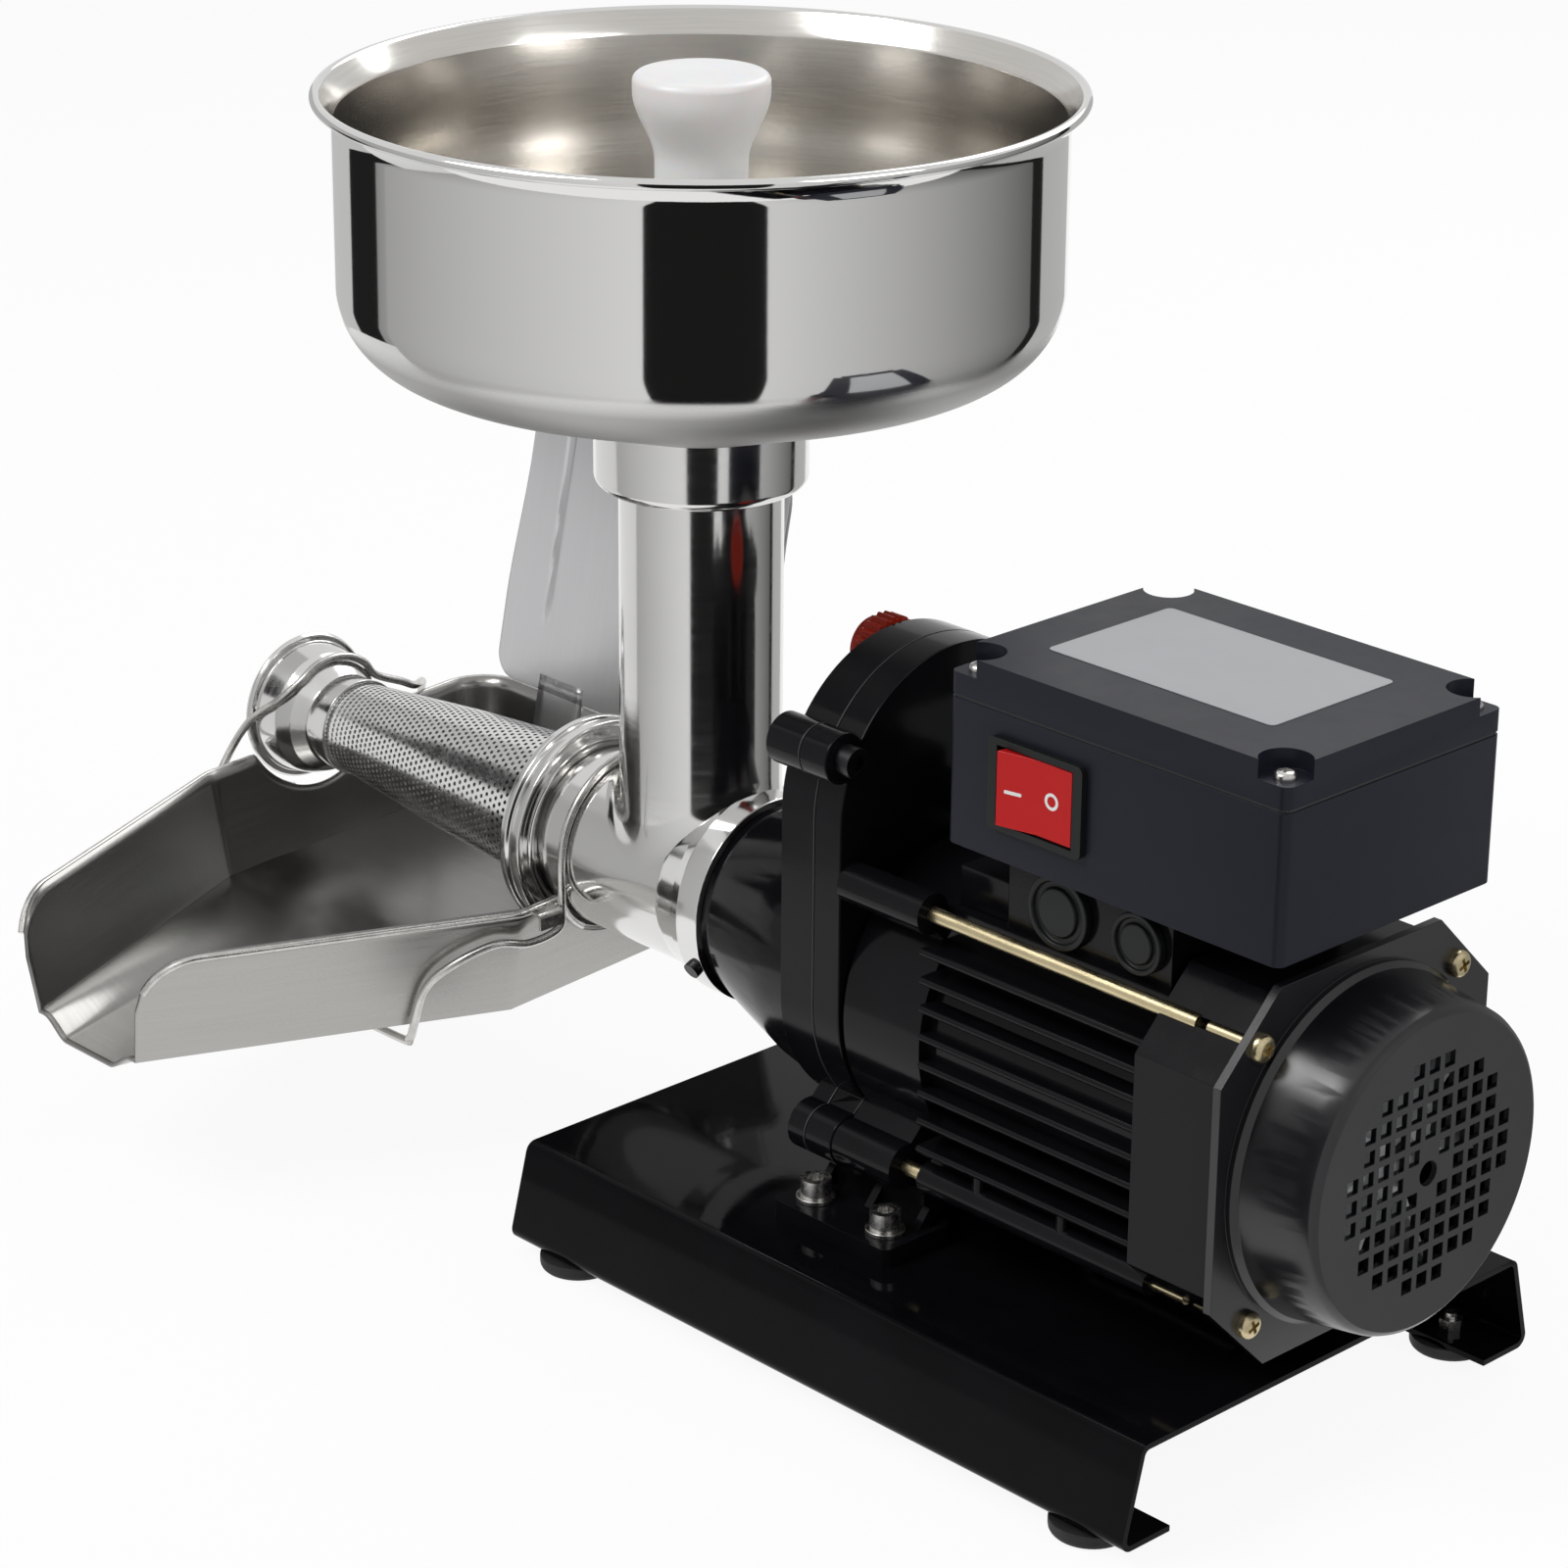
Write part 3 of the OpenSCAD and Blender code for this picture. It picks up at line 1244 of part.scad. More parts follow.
module auger() {
    flight_len = flight_x0 - cone_x1;
    n = round(flight_len / auger_pitch * flight_steps);
    ring = [for (i = [0:n]) let (s = i / n, x = flight_x0 - s * flight_len, a = 360 * i / flight_steps,
            core = auger_core_r2 - over, r = flight_at(x), t = flight_t / 2)
        each [for (c = [[core, t], [r, t * 0.6], [r, -t * 0.6], [core, -t]])
            [x + c[1], c[0] * cos(a), axis_z + c[0] * sin(a)]]];
    faces = concat([[0, 1, 2], [0, 2, 3]],
        [for (i = [0:n - 1], k = [0:3]) let (p = 4 * i + k, q = 4 * i + (k + 1) % 4) each [[p, p + 4, q + 4], [p, q + 4, q]]],
        [[4 * n, 4 * n + 2, 4 * n + 1], [4 * n, 4 * n + 3, 4 * n + 2]]);
    color("#b9bcc0") {
        turned([[0, spigot_x - over], [auger_core_r, spigot_x - over], [auger_core_r, cone_x0],
            [auger_core_r2, cone_x1], [auger_core_r2 / 2, cone_x1 - tip_len], [0, cone_x1 - tip_len]]);
        translate([spigot_x - 2 * over, -drive_side / 2 + drive_gap, axis_z - drive_side / 2 + drive_gap])
            cube([drive_len + over, drive_side - 2 * drive_gap, drive_side - 2 * drive_gap]);
        polyhedron(ring, faces);
    }
}

// Clamp ring that presses the cone's flange against the feed body
module strainer_ring() {
    x1 = ring_front_x + ring_len;
    color("#c9ccd0") {
        difference() {
            turned([[cone_r0 + seat_gap, ring_front_x], [ring_r - ring_tab / 2, ring_front_x],
                [ring_r, ring_front_x + ring_tab / 2], [ring_r, ring_front_x + ring_len * 0.35],
                [ring_r - ring_tab / 4, ring_front_x + ring_len * 0.42],
                [ring_r - ring_tab / 4, ring_front_x + ring_len * 0.58],
                [ring_r, ring_front_x + ring_len * 0.65], [ring_r, x1], [ring_in_r, x1],
                [ring_in_r, cone_x0], [cone_r0 + seat_gap, cone_x0]]);
            for (a = [50:120:290]) translate([0, 0, axis_z]) rotate([a, 0, 0])
                translate([x1 - ring_len * 0.35, -ring_tab, ring_in_r - over])
                    cube([ring_len, ring_tab * 2, ring_r]);
        }
    }
}

module strainer_cone() {
    row_pitch = cone_len / (hole_rows + 1);
    color("#c0c3c7") difference() {
        turned([[cone_r0 - cone_wall, cone_x0], [cone_r1 - cone_wall, cone_x0 - cone_len / 2],
            [cone_r2 - cone_wall, cone_x1], [cone_r2, cone_x1], [cone_r1, cone_x0 - cone_len / 2],
            [cone_r0, cone_x0], [neck_flange_r, cone_x0], [neck_flange_r, cone_x0 + cone_flange_t],
            [cone_r0 - cone_wall, cone_x0 + cone_flange_t]]);
        for (i = [1:hole_rows], j = [0:hole_count - 1]) translate([cone_x0 - i * row_pitch, 0, axis_z])
            rotate([360 * (j + 0.25 + (i % 2) / 2) / hole_count, 0, 0])
                translate([0, 0, cone_at(cone_x0 - i * row_pitch) - 2 * cone_wall])
                    cylinder(h = 4 * cone_wall, r = hole_r, $fn = 16);
    }
}

// Outlet for skins and seeds: a sleeve on the cone's end with a flared rim
module outlet_funnel() {
    x0 = cone_x1 + funnel_sleeve;
    x1 = cone_x1 - funnel_len;
    r0 = cone_at(x0) + bolt_gap;
    bell = [for (p = funnel_shares)
        [funnel_throat_r + p[1] * (funnel_r - funnel_throat_r), cone_x1 - p[0] * funnel_len]];
    color("#cfd2d5") turned(concat([[r0, x0], [cone_r2 + bolt_gap, cone_x1], [cone_r2 - cone_wall, cone_x1]],
        [for (p = bell) [p[0] - funnel_wall, p[1]]],
        [[bell[3][0] - funnel_wall, x1], [funnel_r, x1], [funnel_r, x1 + funnel_wall],
         [bell[3][0], x1 + funnel_wall]],
        [for (i = [3:-1:0]) bell[i]],
        [[funnel_throat_r + cone_wall, cone_x1], [r0 + funnel_wall, x0]]));
}

// One upright corner of the tray, a thin round slab
module tray_corner(x, y, z, r) {
    translate([tray_mid + x, y, z]) cylinder(h = tray_t / 4, r = r, $fn = 24);
}

// Hollow or skin of the tray's back part; grow is the sheet thickness for the skin
module tray_back_form(grow, rise) {
    in = tray_round;
    hull() for (s = [-1, 1]) {
        tray_corner(s * (tray_half - in), tray_back - in, tray_z + tray_rise - grow, in + grow);
        tray_corner(s * (tray_half - in + tray_flare), tray_back - in + tray_flare,
            tray_z + tray_rise + tray_wall_h + rise, in + grow);
        tray_corner(s * (tray_half - in), -tray_kink, tray_z - grow, in + grow);
        tray_corner(s * (tray_half - in + tray_flare), -tray_kink, tray_z + tray_wall_h + rise, in + grow);
    }
}

module tray_spout_form(grow, rise, ahead) {
    in = tray_round / 3;
    hull() for (s = [-1, 1]) {
        tray_corner(s * (tray_half - in), -tray_kink, tray_z - grow, in + grow);
        tray_corner(s * (tray_half - in + tray_flare), -tray_kink, tray_z + tray_wall_h + rise, in + grow);
        tray_corner(s * (mouth_half - in), -tray_mouth - ahead, tray_z - grow, in + grow);
        tray_corner(s * (mouth_half - in) * 0.6, -tray_mouth - ahead, tray_z - spout_dip - grow, in + grow);
        tray_corner(s * (mouth_half - in + tray_flare), -tray_mouth - ahead,
            tray_z + tray_wall_h + rise, in + grow);
    }
}

module drip_tray() {
    wall_x = tray_mid + tray_half;
    top_z = tray_z + tray_wall_h;
    color("#b7b8ba") difference() {
        union() {
            tray_back_form(tray_t, 0);
            tray_spout_form(tray_t, 0, 0);
            for (s = [-1, 1]) translate([wall_x + tray_flare - over, s * (arch_r + tab_len / 2) - tab_len / 2,
                top_z - tab_h]) cube([tab_w, tab_len, tab_h]);
        }
        tray_back_form(0, over);
        tray_spout_form(0, over, tray_mouth * 0.03);
        bar(wall_x - tray_round, wall_x + 3 * tray_flare, neck_r + tray_notch_gap);
        translate([wall_x - tray_round, -neck_r - tray_notch_gap, axis_z])
            cube([4 * tray_flare, 2 * (neck_r + tray_notch_gap), tray_wall_h]);
        bar(tray_mid - tray_half - 3 * tray_flare, cone_x1, funnel_r + tray_notch_gap);
        translate([tray_mid - 2 * tray_half, -tray_mouth - 2 * tray_round, 0])
            cube([4 * tray_half, 2 * tray_round, axis_z]);
        along_x(tray_mid - tray_half, 2 * tray_half) difference() {
            translate([-tray_mouth - 2 * tray_round, top_z - mouth_round])
                square([2 * tray_round + mouth_round, mouth_round + 2 * over]);
            translate([-tray_mouth + mouth_round, top_z - mouth_round]) circle(mouth_round);
        }
        for (s = [-1, 1]) translate([rear_arch_x, s * arch_r, top_z - tab_h])
            cylinder(h = 4 * tab_h, r = wire_r + bolt_gap, center = true, $fn = 32);
    }
}

// Half length of the tray's floor at a distance y in front of the axis
function tray_half_at(y) = y > -tray_kink ? tray_half
    : tray_half - (tray_half - mouth_half) * (-tray_kink - y) / (tray_mouth - tray_kink);

// Route of the wire: over the neck, down beside the tray, under it, up and over the outlet
wire_out = wire_r + tray_t + 3 * seat_gap;
wire_y = 1.75 * tray_kink;
wire_low_z = tray_z - wire_out - 0.4 * spout_dip;
function tray_rim_z(y) = tray_z + tray_wall_h
    + (y > -tray_kink ? tray_rise * (y + tray_kink) / (tray_back + tray_kink) : 0);
function beside(s, y, share, off = 0) =
    [tray_mid + s * (tray_half_at(y) + wire_out + off + share * tray_flare), y, tray_z + share * tray_wall_h];
wire_route = concat(
    [[rear_arch_x, arch_r, tray_rim_z(0) - 1.4 * tab_h]],
    [for (i = [0:14]) let (a = 180 * i / 14) [rear_arch_x, arch_r * cos(a), axis_z + arch_r * sin(a)]],
    [[rear_arch_x, -arch_r, tray_z + tray_wall_h - 1.6 * tab_h]],
    [beside(1, -tray_kink, 0.7, wire_r), beside(1, -1.25 * tray_kink, 0.75, wire_r), beside(1, -1.7 * tray_kink, 0.4),
     beside(1, -wire_y, -0.1)],
    [for (s = [0.92, 0, -0.92]) [tray_mid + s * tray_half_at(-wire_y), -wire_y, wire_low_z]],
    [beside(-1, -wire_y, -0.1), beside(-1, -1.4 * tray_kink, 0.3), beside(-1, -tray_kink, 0.7, wire_r),
     beside(-1, -0.7 * tray_kink, 1.12, wire_r)],
    [[front_arch_x - wire_out, -0.48 * tray_kink, axis_z + 0.5 * front_arch_r]],
    [for (i = [0:8]) let (a = 150 - 120 * i / 8)
        [front_arch_x, front_arch_r * cos(a), axis_z + front_arch_r * sin(a)]],
    [[front_arch_x - wire_out, 0.9 * tray_kink, tray_rim_z(tray_kink) + 2.4 * wire_out],
     [tray_mid - tray_half - tray_flare - wire_out / 2, 1.2 * tray_kink, tray_rim_z(tray_kink) + 1.2 * wire_out],
     [tray_mid - tray_half - tray_flare - 1.6 * wire_out, 1.25 * tray_kink, tray_rim_z(tray_kink) - wire_out]]);

function unit(v) = v / norm(v);
// Direction of the route at point i
function heading(p, i) = unit(p[min(i + 1, len(p) - 1)] - p[max(i - 1, 0)]);
// Sideways directions carried along the route without twist
function sides(p, i, last) = i >= len(p) ? [] :
    let (t = heading(p, i), n = unit(last - t * (last * t))) concat([n], sides(p, i + 1, n));

module swept_wire(p, r, edges = 8) {
    n = sides(p, 0, [1, 0, 0]);
    points = [for (i = [0:len(p) - 1], k = [0:edges - 1]) let (t = heading(p, i), a = 360 * k / edges)
        p[i] + r * (cos(a) * n[i] + sin(a) * cross(t, n[i]))];
    last = (len(p) - 1) * edges;
    faces = concat([[for (k = [edges - 1:-1:0]) k]], [[for (k = [0:edges - 1]) last + k]],
        [for (i = [0:len(p) - 2], k = [0:edges - 1])
            let (a = i * edges + k, b = i * edges + (k + 1) % edges) each [[a, b, b + edges], [a, b + edges, a + edges]]]);
    polyhedron(points, faces);
}

module tray_wire() {
    color("#cfd0d2") swept_wire(wire_route, wire_r);
}

// Guard that stands on two legs in the tray and leans on its back wall
module splash_guard() {
    rim = tray_wall_h / cos(guard_lean);
    leg = [guard_half - guard_leg_in - guard_leg_w, guard_half - guard_leg_in];
    color("#c4c4c8") translate([-guard_x, tray_back - seat_gap, tray_z + tray_rise])
        rotate([90 - guard_lean, 0, 0]) {
            linear_extrude(tray_t) {
                polygon(concat(
                    arc(guard_half - guard_round, rim + guard_round + over, guard_round, -90, 0, 5),
                    arc(guard_half - 2 * guard_round, rim + guard_h - 2 * guard_round, 2 * guard_round, 0, 90, 6),
                    arc(2 * guard_round - guard_half, rim + guard_h - 2 * guard_round, 2 * guard_round, 90, 180, 6),
                    arc(guard_round - guard_half, rim + guard_round + over, guard_round, 180, 270, 5)));
                for (s = [-1, 1]) translate([s > 0 ? leg[0] : -leg[1], seat_gap])
                    square([guard_leg_w, rim + guard_round]);
            }
            for (s = [-1, 1]) translate([s * (guard_half - guard_bead_in), rim + guard_bead_low, tray_t])
                rotate([-90, 0, 0]) cylinder(h = guard_h - guard_bead_low - guard_round, r = guard_bead_r, $fn = 24);
        }
}

module hopper() {
    t = hopper_t;
    outer = concat([[collar_r, bowl_floor_z]], arc(bowl_r - bowl_corner_r, bowl_wall_z, bowl_corner_r, -bowl_angle, 0, 9),
        [[bowl_r, rim_z - rim_flare_z], [bowl_r + 0.4 * rim_out, rim_z - rim_flare_z * 0.55]]);
    color("#c9cbce") translate([feed_axis_x, 0, 0]) {
        rotate_extrude($fn = 96) polygon(concat(
            [[bowl_neck_r, bowl_floor_z], [collar_r - collar_wall, bowl_floor_z], [collar_r - collar_wall, collar_z + collar_round],
             [tube_r + seat_gap, collar_z + collar_wall], [tube_r + seat_gap, collar_z],
             [collar_r - collar_round / 2, collar_z]],
            arc(collar_r - collar_round, collar_z + collar_round, collar_round, -60, 0, 5),
            outer,
            arc(rim_r - rim_bead, rim_z - rim_bead, rim_bead, -90, 90, 8),
            [[bowl_r + 0.4 * rim_out - t, rim_z - rim_flare_z * 0.45], [bowl_r - t, rim_z - rim_flare_z]],
            arc(bowl_r - bowl_corner_r, bowl_wall_z, bowl_corner_r - t, 0, -bowl_angle, 9),
            [[collar_r, bowl_floor_z + t], [bowl_neck_r, bowl_floor_z + t]]));
    }
}

// Pusher: a mushroom head, a straight shaft and a disc that fills the tube
module pusher() {
    foot_z = axis_z + flight_at(feed_axis_x) + seat_gap;
    foot_len = 1.1 * pusher_foot_r;
    neck_z = pusher_top - 1.35 * pusher_head_r;
    color("#eef0f0") translate([feed_axis_x, 0, 0]) rotate_extrude() polygon(concat(
        [[0, foot_z], [pusher_foot_r - over, foot_z], [pusher_foot_r, foot_z + over],
         [pusher_foot_r, foot_z + foot_len - over], [pusher_foot_r - over, foot_z + foot_len],
         [pusher_shaft_r + over, foot_z + foot_len + over], [pusher_shaft_r, foot_z + foot_len + 3 * over],
         [pusher_shaft_r, neck_z]],
        [for (i = [1:6]) let (s = i / 6) [pusher_shaft_r + (pusher_head_r - pusher_shaft_r) * (s * s * (3 - 2 * s)),
            neck_z + s * 0.75 * pusher_head_r]],
        arc(pusher_head_r * 0.8, pusher_top - 0.35 * pusher_head_r, pusher_head_r * 0.2, 0, 45, 3),
        arc(pusher_head_r * 0.75, pusher_top - 0.2 * pusher_head_r, pusher_head_r * 0.2, 45, 90, 3),
        [[0, pusher_top]]));
}

base_plate();
rubber_feet();
foot_bolts();
foot_nuts();
motor_foot();
motor_foot_screws();
motor_foot_washers();
motor_foot_nuts();
gearbox_rear();
gearbox_front();
gearbox_gasket();
gearbox_screws();
oil_plug();
oil_plug_ring();
bayonet_pins();
output_seal();
output_bearings();
bearing_spacer();
layshaft_bushes();
motor_seal();
motor_bearings();
output_shaft();
output_gear();
layshaft();
layshaft_gear();
layshaft_pinion();
rotor_shaft();
rotor_core();
motor_pinion();
motor_front_shield();
stator_housing();
stator_core();
stator_windings();
rear_end_shield();
tie_rods();
cooling_fan();
fan_cowl();
cowl_screws();
box_pedestal();
blanking_plugs();
terminal_box();
box_gasket();
box_lid();
lid_screws();
run_capacitor();
cable_gland();
switch_housing();
switch_rocker();
feed_body();
auger();
strainer_ring();
strainer_cone();
outlet_funnel();
drip_tray();
tray_wire();
splash_guard();
hopper();
pusher();
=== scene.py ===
"""Looks of an electric tomato press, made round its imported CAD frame.

Each operator below makes one group of pieces or the stage. The panel's sizes are in metres
and profiles in millimetres, in the frame of the CAD part: +X along the machine's axis towards
the fan, -Y the switch side, +Z up.
"""
import math
from types import SimpleNamespace

import bmesh
import bpy
import numpy as np
from mathutils import Matrix, Vector


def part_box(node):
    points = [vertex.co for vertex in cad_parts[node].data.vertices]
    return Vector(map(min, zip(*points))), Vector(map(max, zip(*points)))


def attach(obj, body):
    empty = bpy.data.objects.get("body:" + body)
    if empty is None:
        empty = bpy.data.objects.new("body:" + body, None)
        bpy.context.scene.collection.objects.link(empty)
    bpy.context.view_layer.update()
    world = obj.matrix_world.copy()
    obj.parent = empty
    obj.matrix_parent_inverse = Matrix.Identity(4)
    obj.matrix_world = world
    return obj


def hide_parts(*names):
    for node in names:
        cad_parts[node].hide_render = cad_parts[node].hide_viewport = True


bl_info = {
    "name": "Tomato Press Dresser",
    "version": (1, 0, 0),
    "blender": (4, 5, 0),
    "location": "3D View > Sidebar > Press",
    "description": "Polished bowl, tube, perforated cone, tray and cast motor of a tomato press",
    "category": "Object",
}

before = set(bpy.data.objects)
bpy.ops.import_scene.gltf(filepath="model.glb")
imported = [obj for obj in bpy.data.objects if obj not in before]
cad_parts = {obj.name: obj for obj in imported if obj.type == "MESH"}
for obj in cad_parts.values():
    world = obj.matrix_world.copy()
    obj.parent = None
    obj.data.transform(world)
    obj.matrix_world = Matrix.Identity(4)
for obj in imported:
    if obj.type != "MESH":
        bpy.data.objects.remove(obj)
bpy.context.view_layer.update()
MM = 0.001
AXIS_Z = 109.0  # height of the axis of motor, auger and cone
FEED_X = -148.5  # place of the upright feed tube
CONE_X0, CONE_X1 = -207.0, -342.0
PREFIX = "press "  # of this script's material names
MERGE_CAD = 2e-6  # metres within which a CAD copy's points are one
FLAT_ANGLE = math.radians(0.5)
AIM = Vector((-0.08, 0, 0.18))
CARD_RADIUS = 0.36
WHITE = (1, 1, 1, 1)


# -------------------- sizes and colours

def length(name, text, value):
    """A size in metres."""
    return bpy.props.FloatProperty(name=name, description=text, default=value,
                                   subtype="DISTANCE", unit="LENGTH", precision=5)


def colour(name, text, value):
    """A linear colour."""
    return bpy.props.FloatVectorProperty(name=name, description=text, default=value,
                                         subtype="COLOR", size=3, min=0.0, max=1.0)


class PressSizes(bpy.types.PropertyGroup):
    """Sizes that a user would change"""
    rim_radius: length("Rim radius", "Outer radius of the bowl's rolled rim", 0.125)
    bowl_radius: length("Bowl radius", "Outer radius of the bowl's upright wall", 0.1185)
    bowl_top: length("Bowl top", "Height of the rim above the table", 0.380)
    sheet: length("Sheet", "Sheet thickness of bowl, tray and guard", 0.0012)
    pusher_radius: length("Pusher radius", "Radius of the pusher's head", 0.0223)
    hole_radius: length("Hole radius", "Radius of a hole in the perforated cone", 0.0008)
    hole_pitch: length("Hole pitch", "Distance between two rows of holes", 0.00265)
    wire_radius: length("Wire radius", "Radius of the tray's carrying wire", 0.0015)
    tray_wall: length("Tray wall", "Height of the tray's walls", 0.040)


class PressColours(bpy.types.PropertyGroup):
    """Colours that a user would change"""
    enamel: colour("Enamel", "Gloss black of base, gearbox and motor", (0.0062, 0.0062, 0.0078))
    box: colour("Box", "Satin charcoal of the terminal box", (0.0115, 0.0122, 0.0195))
    steel: colour("Steel", "Polished stainless steel", (0.76, 0.755, 0.745))
    satin: colour("Satin steel", "Brushed sheet of the tray", (0.43, 0.425, 0.41))
    red: colour("Red", "Filler plug", (0.27, 0.017, 0.007))
    white: colour("White", "Pusher", (0.80, 0.805, 0.81))
    zinc: colour("Yellow zinc", "Tie rods and cowl screws", (0.62, 0.53, 0.33))


# -------------------- shapes

def quads(rows, cols, wrap_rows=False, wrap_cols=False):
    """Faces of a grid of points, as rows of four indices: a point, the one in the next row,
    that one's neighbour in its row, and the point's own neighbour."""
    r = np.arange(rows if wrap_rows else rows - 1)
    c = np.arange(cols if wrap_cols else cols - 1)
    r, c = np.meshgrid(r, c, indexing="ij")
    r1, c1 = (r + 1) % rows, (c + 1) % cols
    corners = [r * cols + c, r1 * cols + c, r1 * cols + c1, r * cols + c1]
    return np.stack(corners, -1).reshape(-1, 4)


def add_piece(name, shape, finish, body, replaced=(), sharp=35.0, recalc=True,
              merge=1e-7, modifiers=None, grain=None):
    """Makes a mesh object from a shape, its points in millimetres and its faces, and rides it
    on its body. Points closer than merge metres become one, and edges sharper than the given
    angle stay sharp. The grain, two millimetre coordinates a point, along and across the
    brushing, goes in an attribute that brushed() reads."""
    points, faces = shape
    mesh = bpy.data.meshes.new(name)
    mesh.from_pydata((np.asarray(points, float).reshape(-1, 3) * MM).tolist(), [],
                     [list(map(int, f)) for f in faces])
    if grain is not None:
        flat = np.c_[np.asarray(grain, float).reshape(-1, 2) * MM, np.zeros(len(mesh.vertices))]
        layer = mesh.attributes.new("grain", "FLOAT_VECTOR", "POINT")
        layer.data.foreach_set("vector", flat.astype(np.float32).ravel())
    bm = bmesh.new()
    bm.from_mesh(mesh)
    bmesh.ops.remove_doubles(bm, verts=bm.verts, dist=merge)
    bmesh.ops.dissolve_degenerate(bm, edges=bm.edges, dist=merge)
    if recalc:
        bmesh.ops.recalc_face_normals(bm, faces=bm.faces)
    bm.to_mesh(mesh)
    bm.free()
    mesh.shade_smooth()
    mesh.set_sharp_from_angle(angle=math.radians(sharp))
    return place(name, mesh, finish, body, replaced, modifiers)


def linked(name, data):
    """A new object for the data, in the scene."""
    made = bpy.data.objects.new(name, data)
    bpy.context.scene.collection.objects.link(made)
    return made


def place(name, mesh, finish, body, replaced=(), modifiers=None):
    """Links an object for the mesh, gives it its finish and modifiers, and rides it."""
    piece = linked(name, mesh)
    mesh.materials.clear()
    mesh.materials.append(finish_of(finish))
    for kind, values in (modifiers or []):
        modifier = piece.modifiers.new(kind.title(), kind)
        for key, value in values.items():
            setattr(modifier, key, value)
    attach(piece, body)
    if replaced:
        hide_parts(*replaced)
    return piece


def rounded(corners, steps=6, closed=True):
    """A polyline of corners (x, y, radius), each replaced by an arc of that radius that is
    tangent to both sides. The tangent length is the radius over the tangent of half the
    inner angle, kept under half of each side."""
    c, radii = np.array(corners, float)[:, :2], [k[2] for k in corners]
    n, out = len(c), []
    for i in range(n):
        if not closed and i in (0, n - 1) or radii[i] <= 0:
            out.append(c[i])
            continue
        a, b = c[i - 1] - c[i], c[(i + 1) % n] - c[i]
        la, lb = np.linalg.norm(a), np.linalg.norm(b)
        a, b = a / la, b / lb
        half = math.acos(max(-1.0, min(1.0, float(a @ b)))) / 2
        if half > math.pi / 2 - 0.01:
            out.append(c[i])
            continue
        cut = min(radii[i] / math.tan(half), 0.49 * la, 0.49 * lb)
        radius = cut * math.tan(half)
        middle = c[i] + (a + b) / np.linalg.norm(a + b) * (radius / math.sin(half))
        start, end = c[i] + a * cut - middle, c[i] + b * cut - middle
        turn = math.atan2(start[0] * end[1] - start[1] * end[0], float(start @ end))
        for t in np.linspace(0, turn, steps + 1):
            s, k = math.sin(t), math.cos(t)
            out.append(middle + [start[0] * k - start[1] * s, start[0] * s + start[1] * k])
    return np.array(out)


def turned(profile, centre, axis, segments, closed=True):
    """Points and faces of a profile (radius, height) carried round an axis: x = r cos a,
    y = r sin a about Z, and the same about X with height along X."""
    p = np.asarray(profile, float)
    a = np.linspace(0, 2 * math.pi, segments, endpoint=False)[:, None]
    r, h = p[None, :, 0], p[None, :, 1]
    one = np.ones_like(a)
    if axis == "z":
        points = np.stack([r * np.cos(a), r * np.sin(a), one * h], -1)
    else:
        points = np.stack([one * h, r * np.cos(a), r * np.sin(a)], -1)
    return points + np.asarray(centre, float), quads(segments, len(p), True, closed)


def round_axis(profile, segments):
    """A closed profile (radius, x) turned about the machine's axis."""
    return turned(profile, (0, 0, AXIS_Z), "x", segments)


def round_feed(profile, segments):
    """An open profile (radius, z) turned about the feed tube's axis."""
    return turned(profile, (FEED_X, 0, 0), "z", segments, False)


def slab(outline, low, high):
    """A flat outline given two heights: its sides and both faces."""
    n = len(outline)
    points = np.concatenate([np.c_[outline, np.full(n, low)], np.c_[outline, np.full(n, high)]])
    sides = [[k, (k + 1) % n, n + (k + 1) % n, n + k] for k in range(n)]
    return points, sides + [list(range(n))[::-1], list(range(n, 2 * n))]


def bent(start, middle, end, steps):
    """The curve (1-t)^2 start + 2t(1-t) middle + t^2 end through a number of points."""
    a, b, c = (np.asarray(k, float) for k in (start, middle, end))
    t = np.linspace(0, 1, steps)[:, None]
    return (1 - t) ** 2 * a + 2 * t * (1 - t) * b + t ** 2 * c


def along(path, steps):
    """A smooth curve through the points of a path: each span is the cubic whose end slopes
    are half the step between the neighbours."""
    p = np.asarray(path, float)
    q = np.concatenate([[2 * p[0] - p[1]], p, [2 * p[-1] - p[-2]]])
    t = np.linspace(0, 1, steps, endpoint=False)[None, :, None]
    a, b, c, d = (q[i:len(q) - 3 + i][:, None, :] for i in range(4))
    curve = 0.5 * (2 * b + (c - a) * t + (2 * a - 5 * b + 4 * c - d) * t ** 2
                   + (3 * b - a - 3 * c + d) * t ** 3)
    return np.concatenate([curve.reshape(-1, p.shape[1]), p[-1:]])


def tube(path, radius, sides=12):
    """A round bar along a path. Its sideways directions are carried from point to point
    without twist, and each ring is the centre plus radius times (cos a, sin a) in them."""
    p = np.asarray(path, float)
    t = np.gradient(p, axis=0)
    t /= np.linalg.norm(t, axis=1)[:, None]
    side = np.cross(t[0], [0.3, 0.5, 0.8])
    sides_at = []
    for k in range(len(p)):
        side = side - t[k] * (side @ t[k])
        side /= np.linalg.norm(side)
        sides_at.append(side)
    n = np.array(sides_at)[:, None, :]
    b = np.cross(t, n[:, 0])[:, None, :]
    a = np.linspace(0, 2 * math.pi, sides, endpoint=False)[None, :, None]
    ring = p[:, None, :] + radius * (np.cos(a) * n + np.sin(a) * b)
    count = len(p) * sides
    points = np.concatenate([ring.reshape(-1, 3), p[:1], p[-1:]])
    cap = np.arange(sides)
    caps = [[count, (k + 1) % sides, k] for k in cap]
    base = count - sides
    caps += [[count + 1, base + k, base + (k + 1) % sides] for k in cap]
    return points, quads(len(p), sides, False, True).tolist() + caps


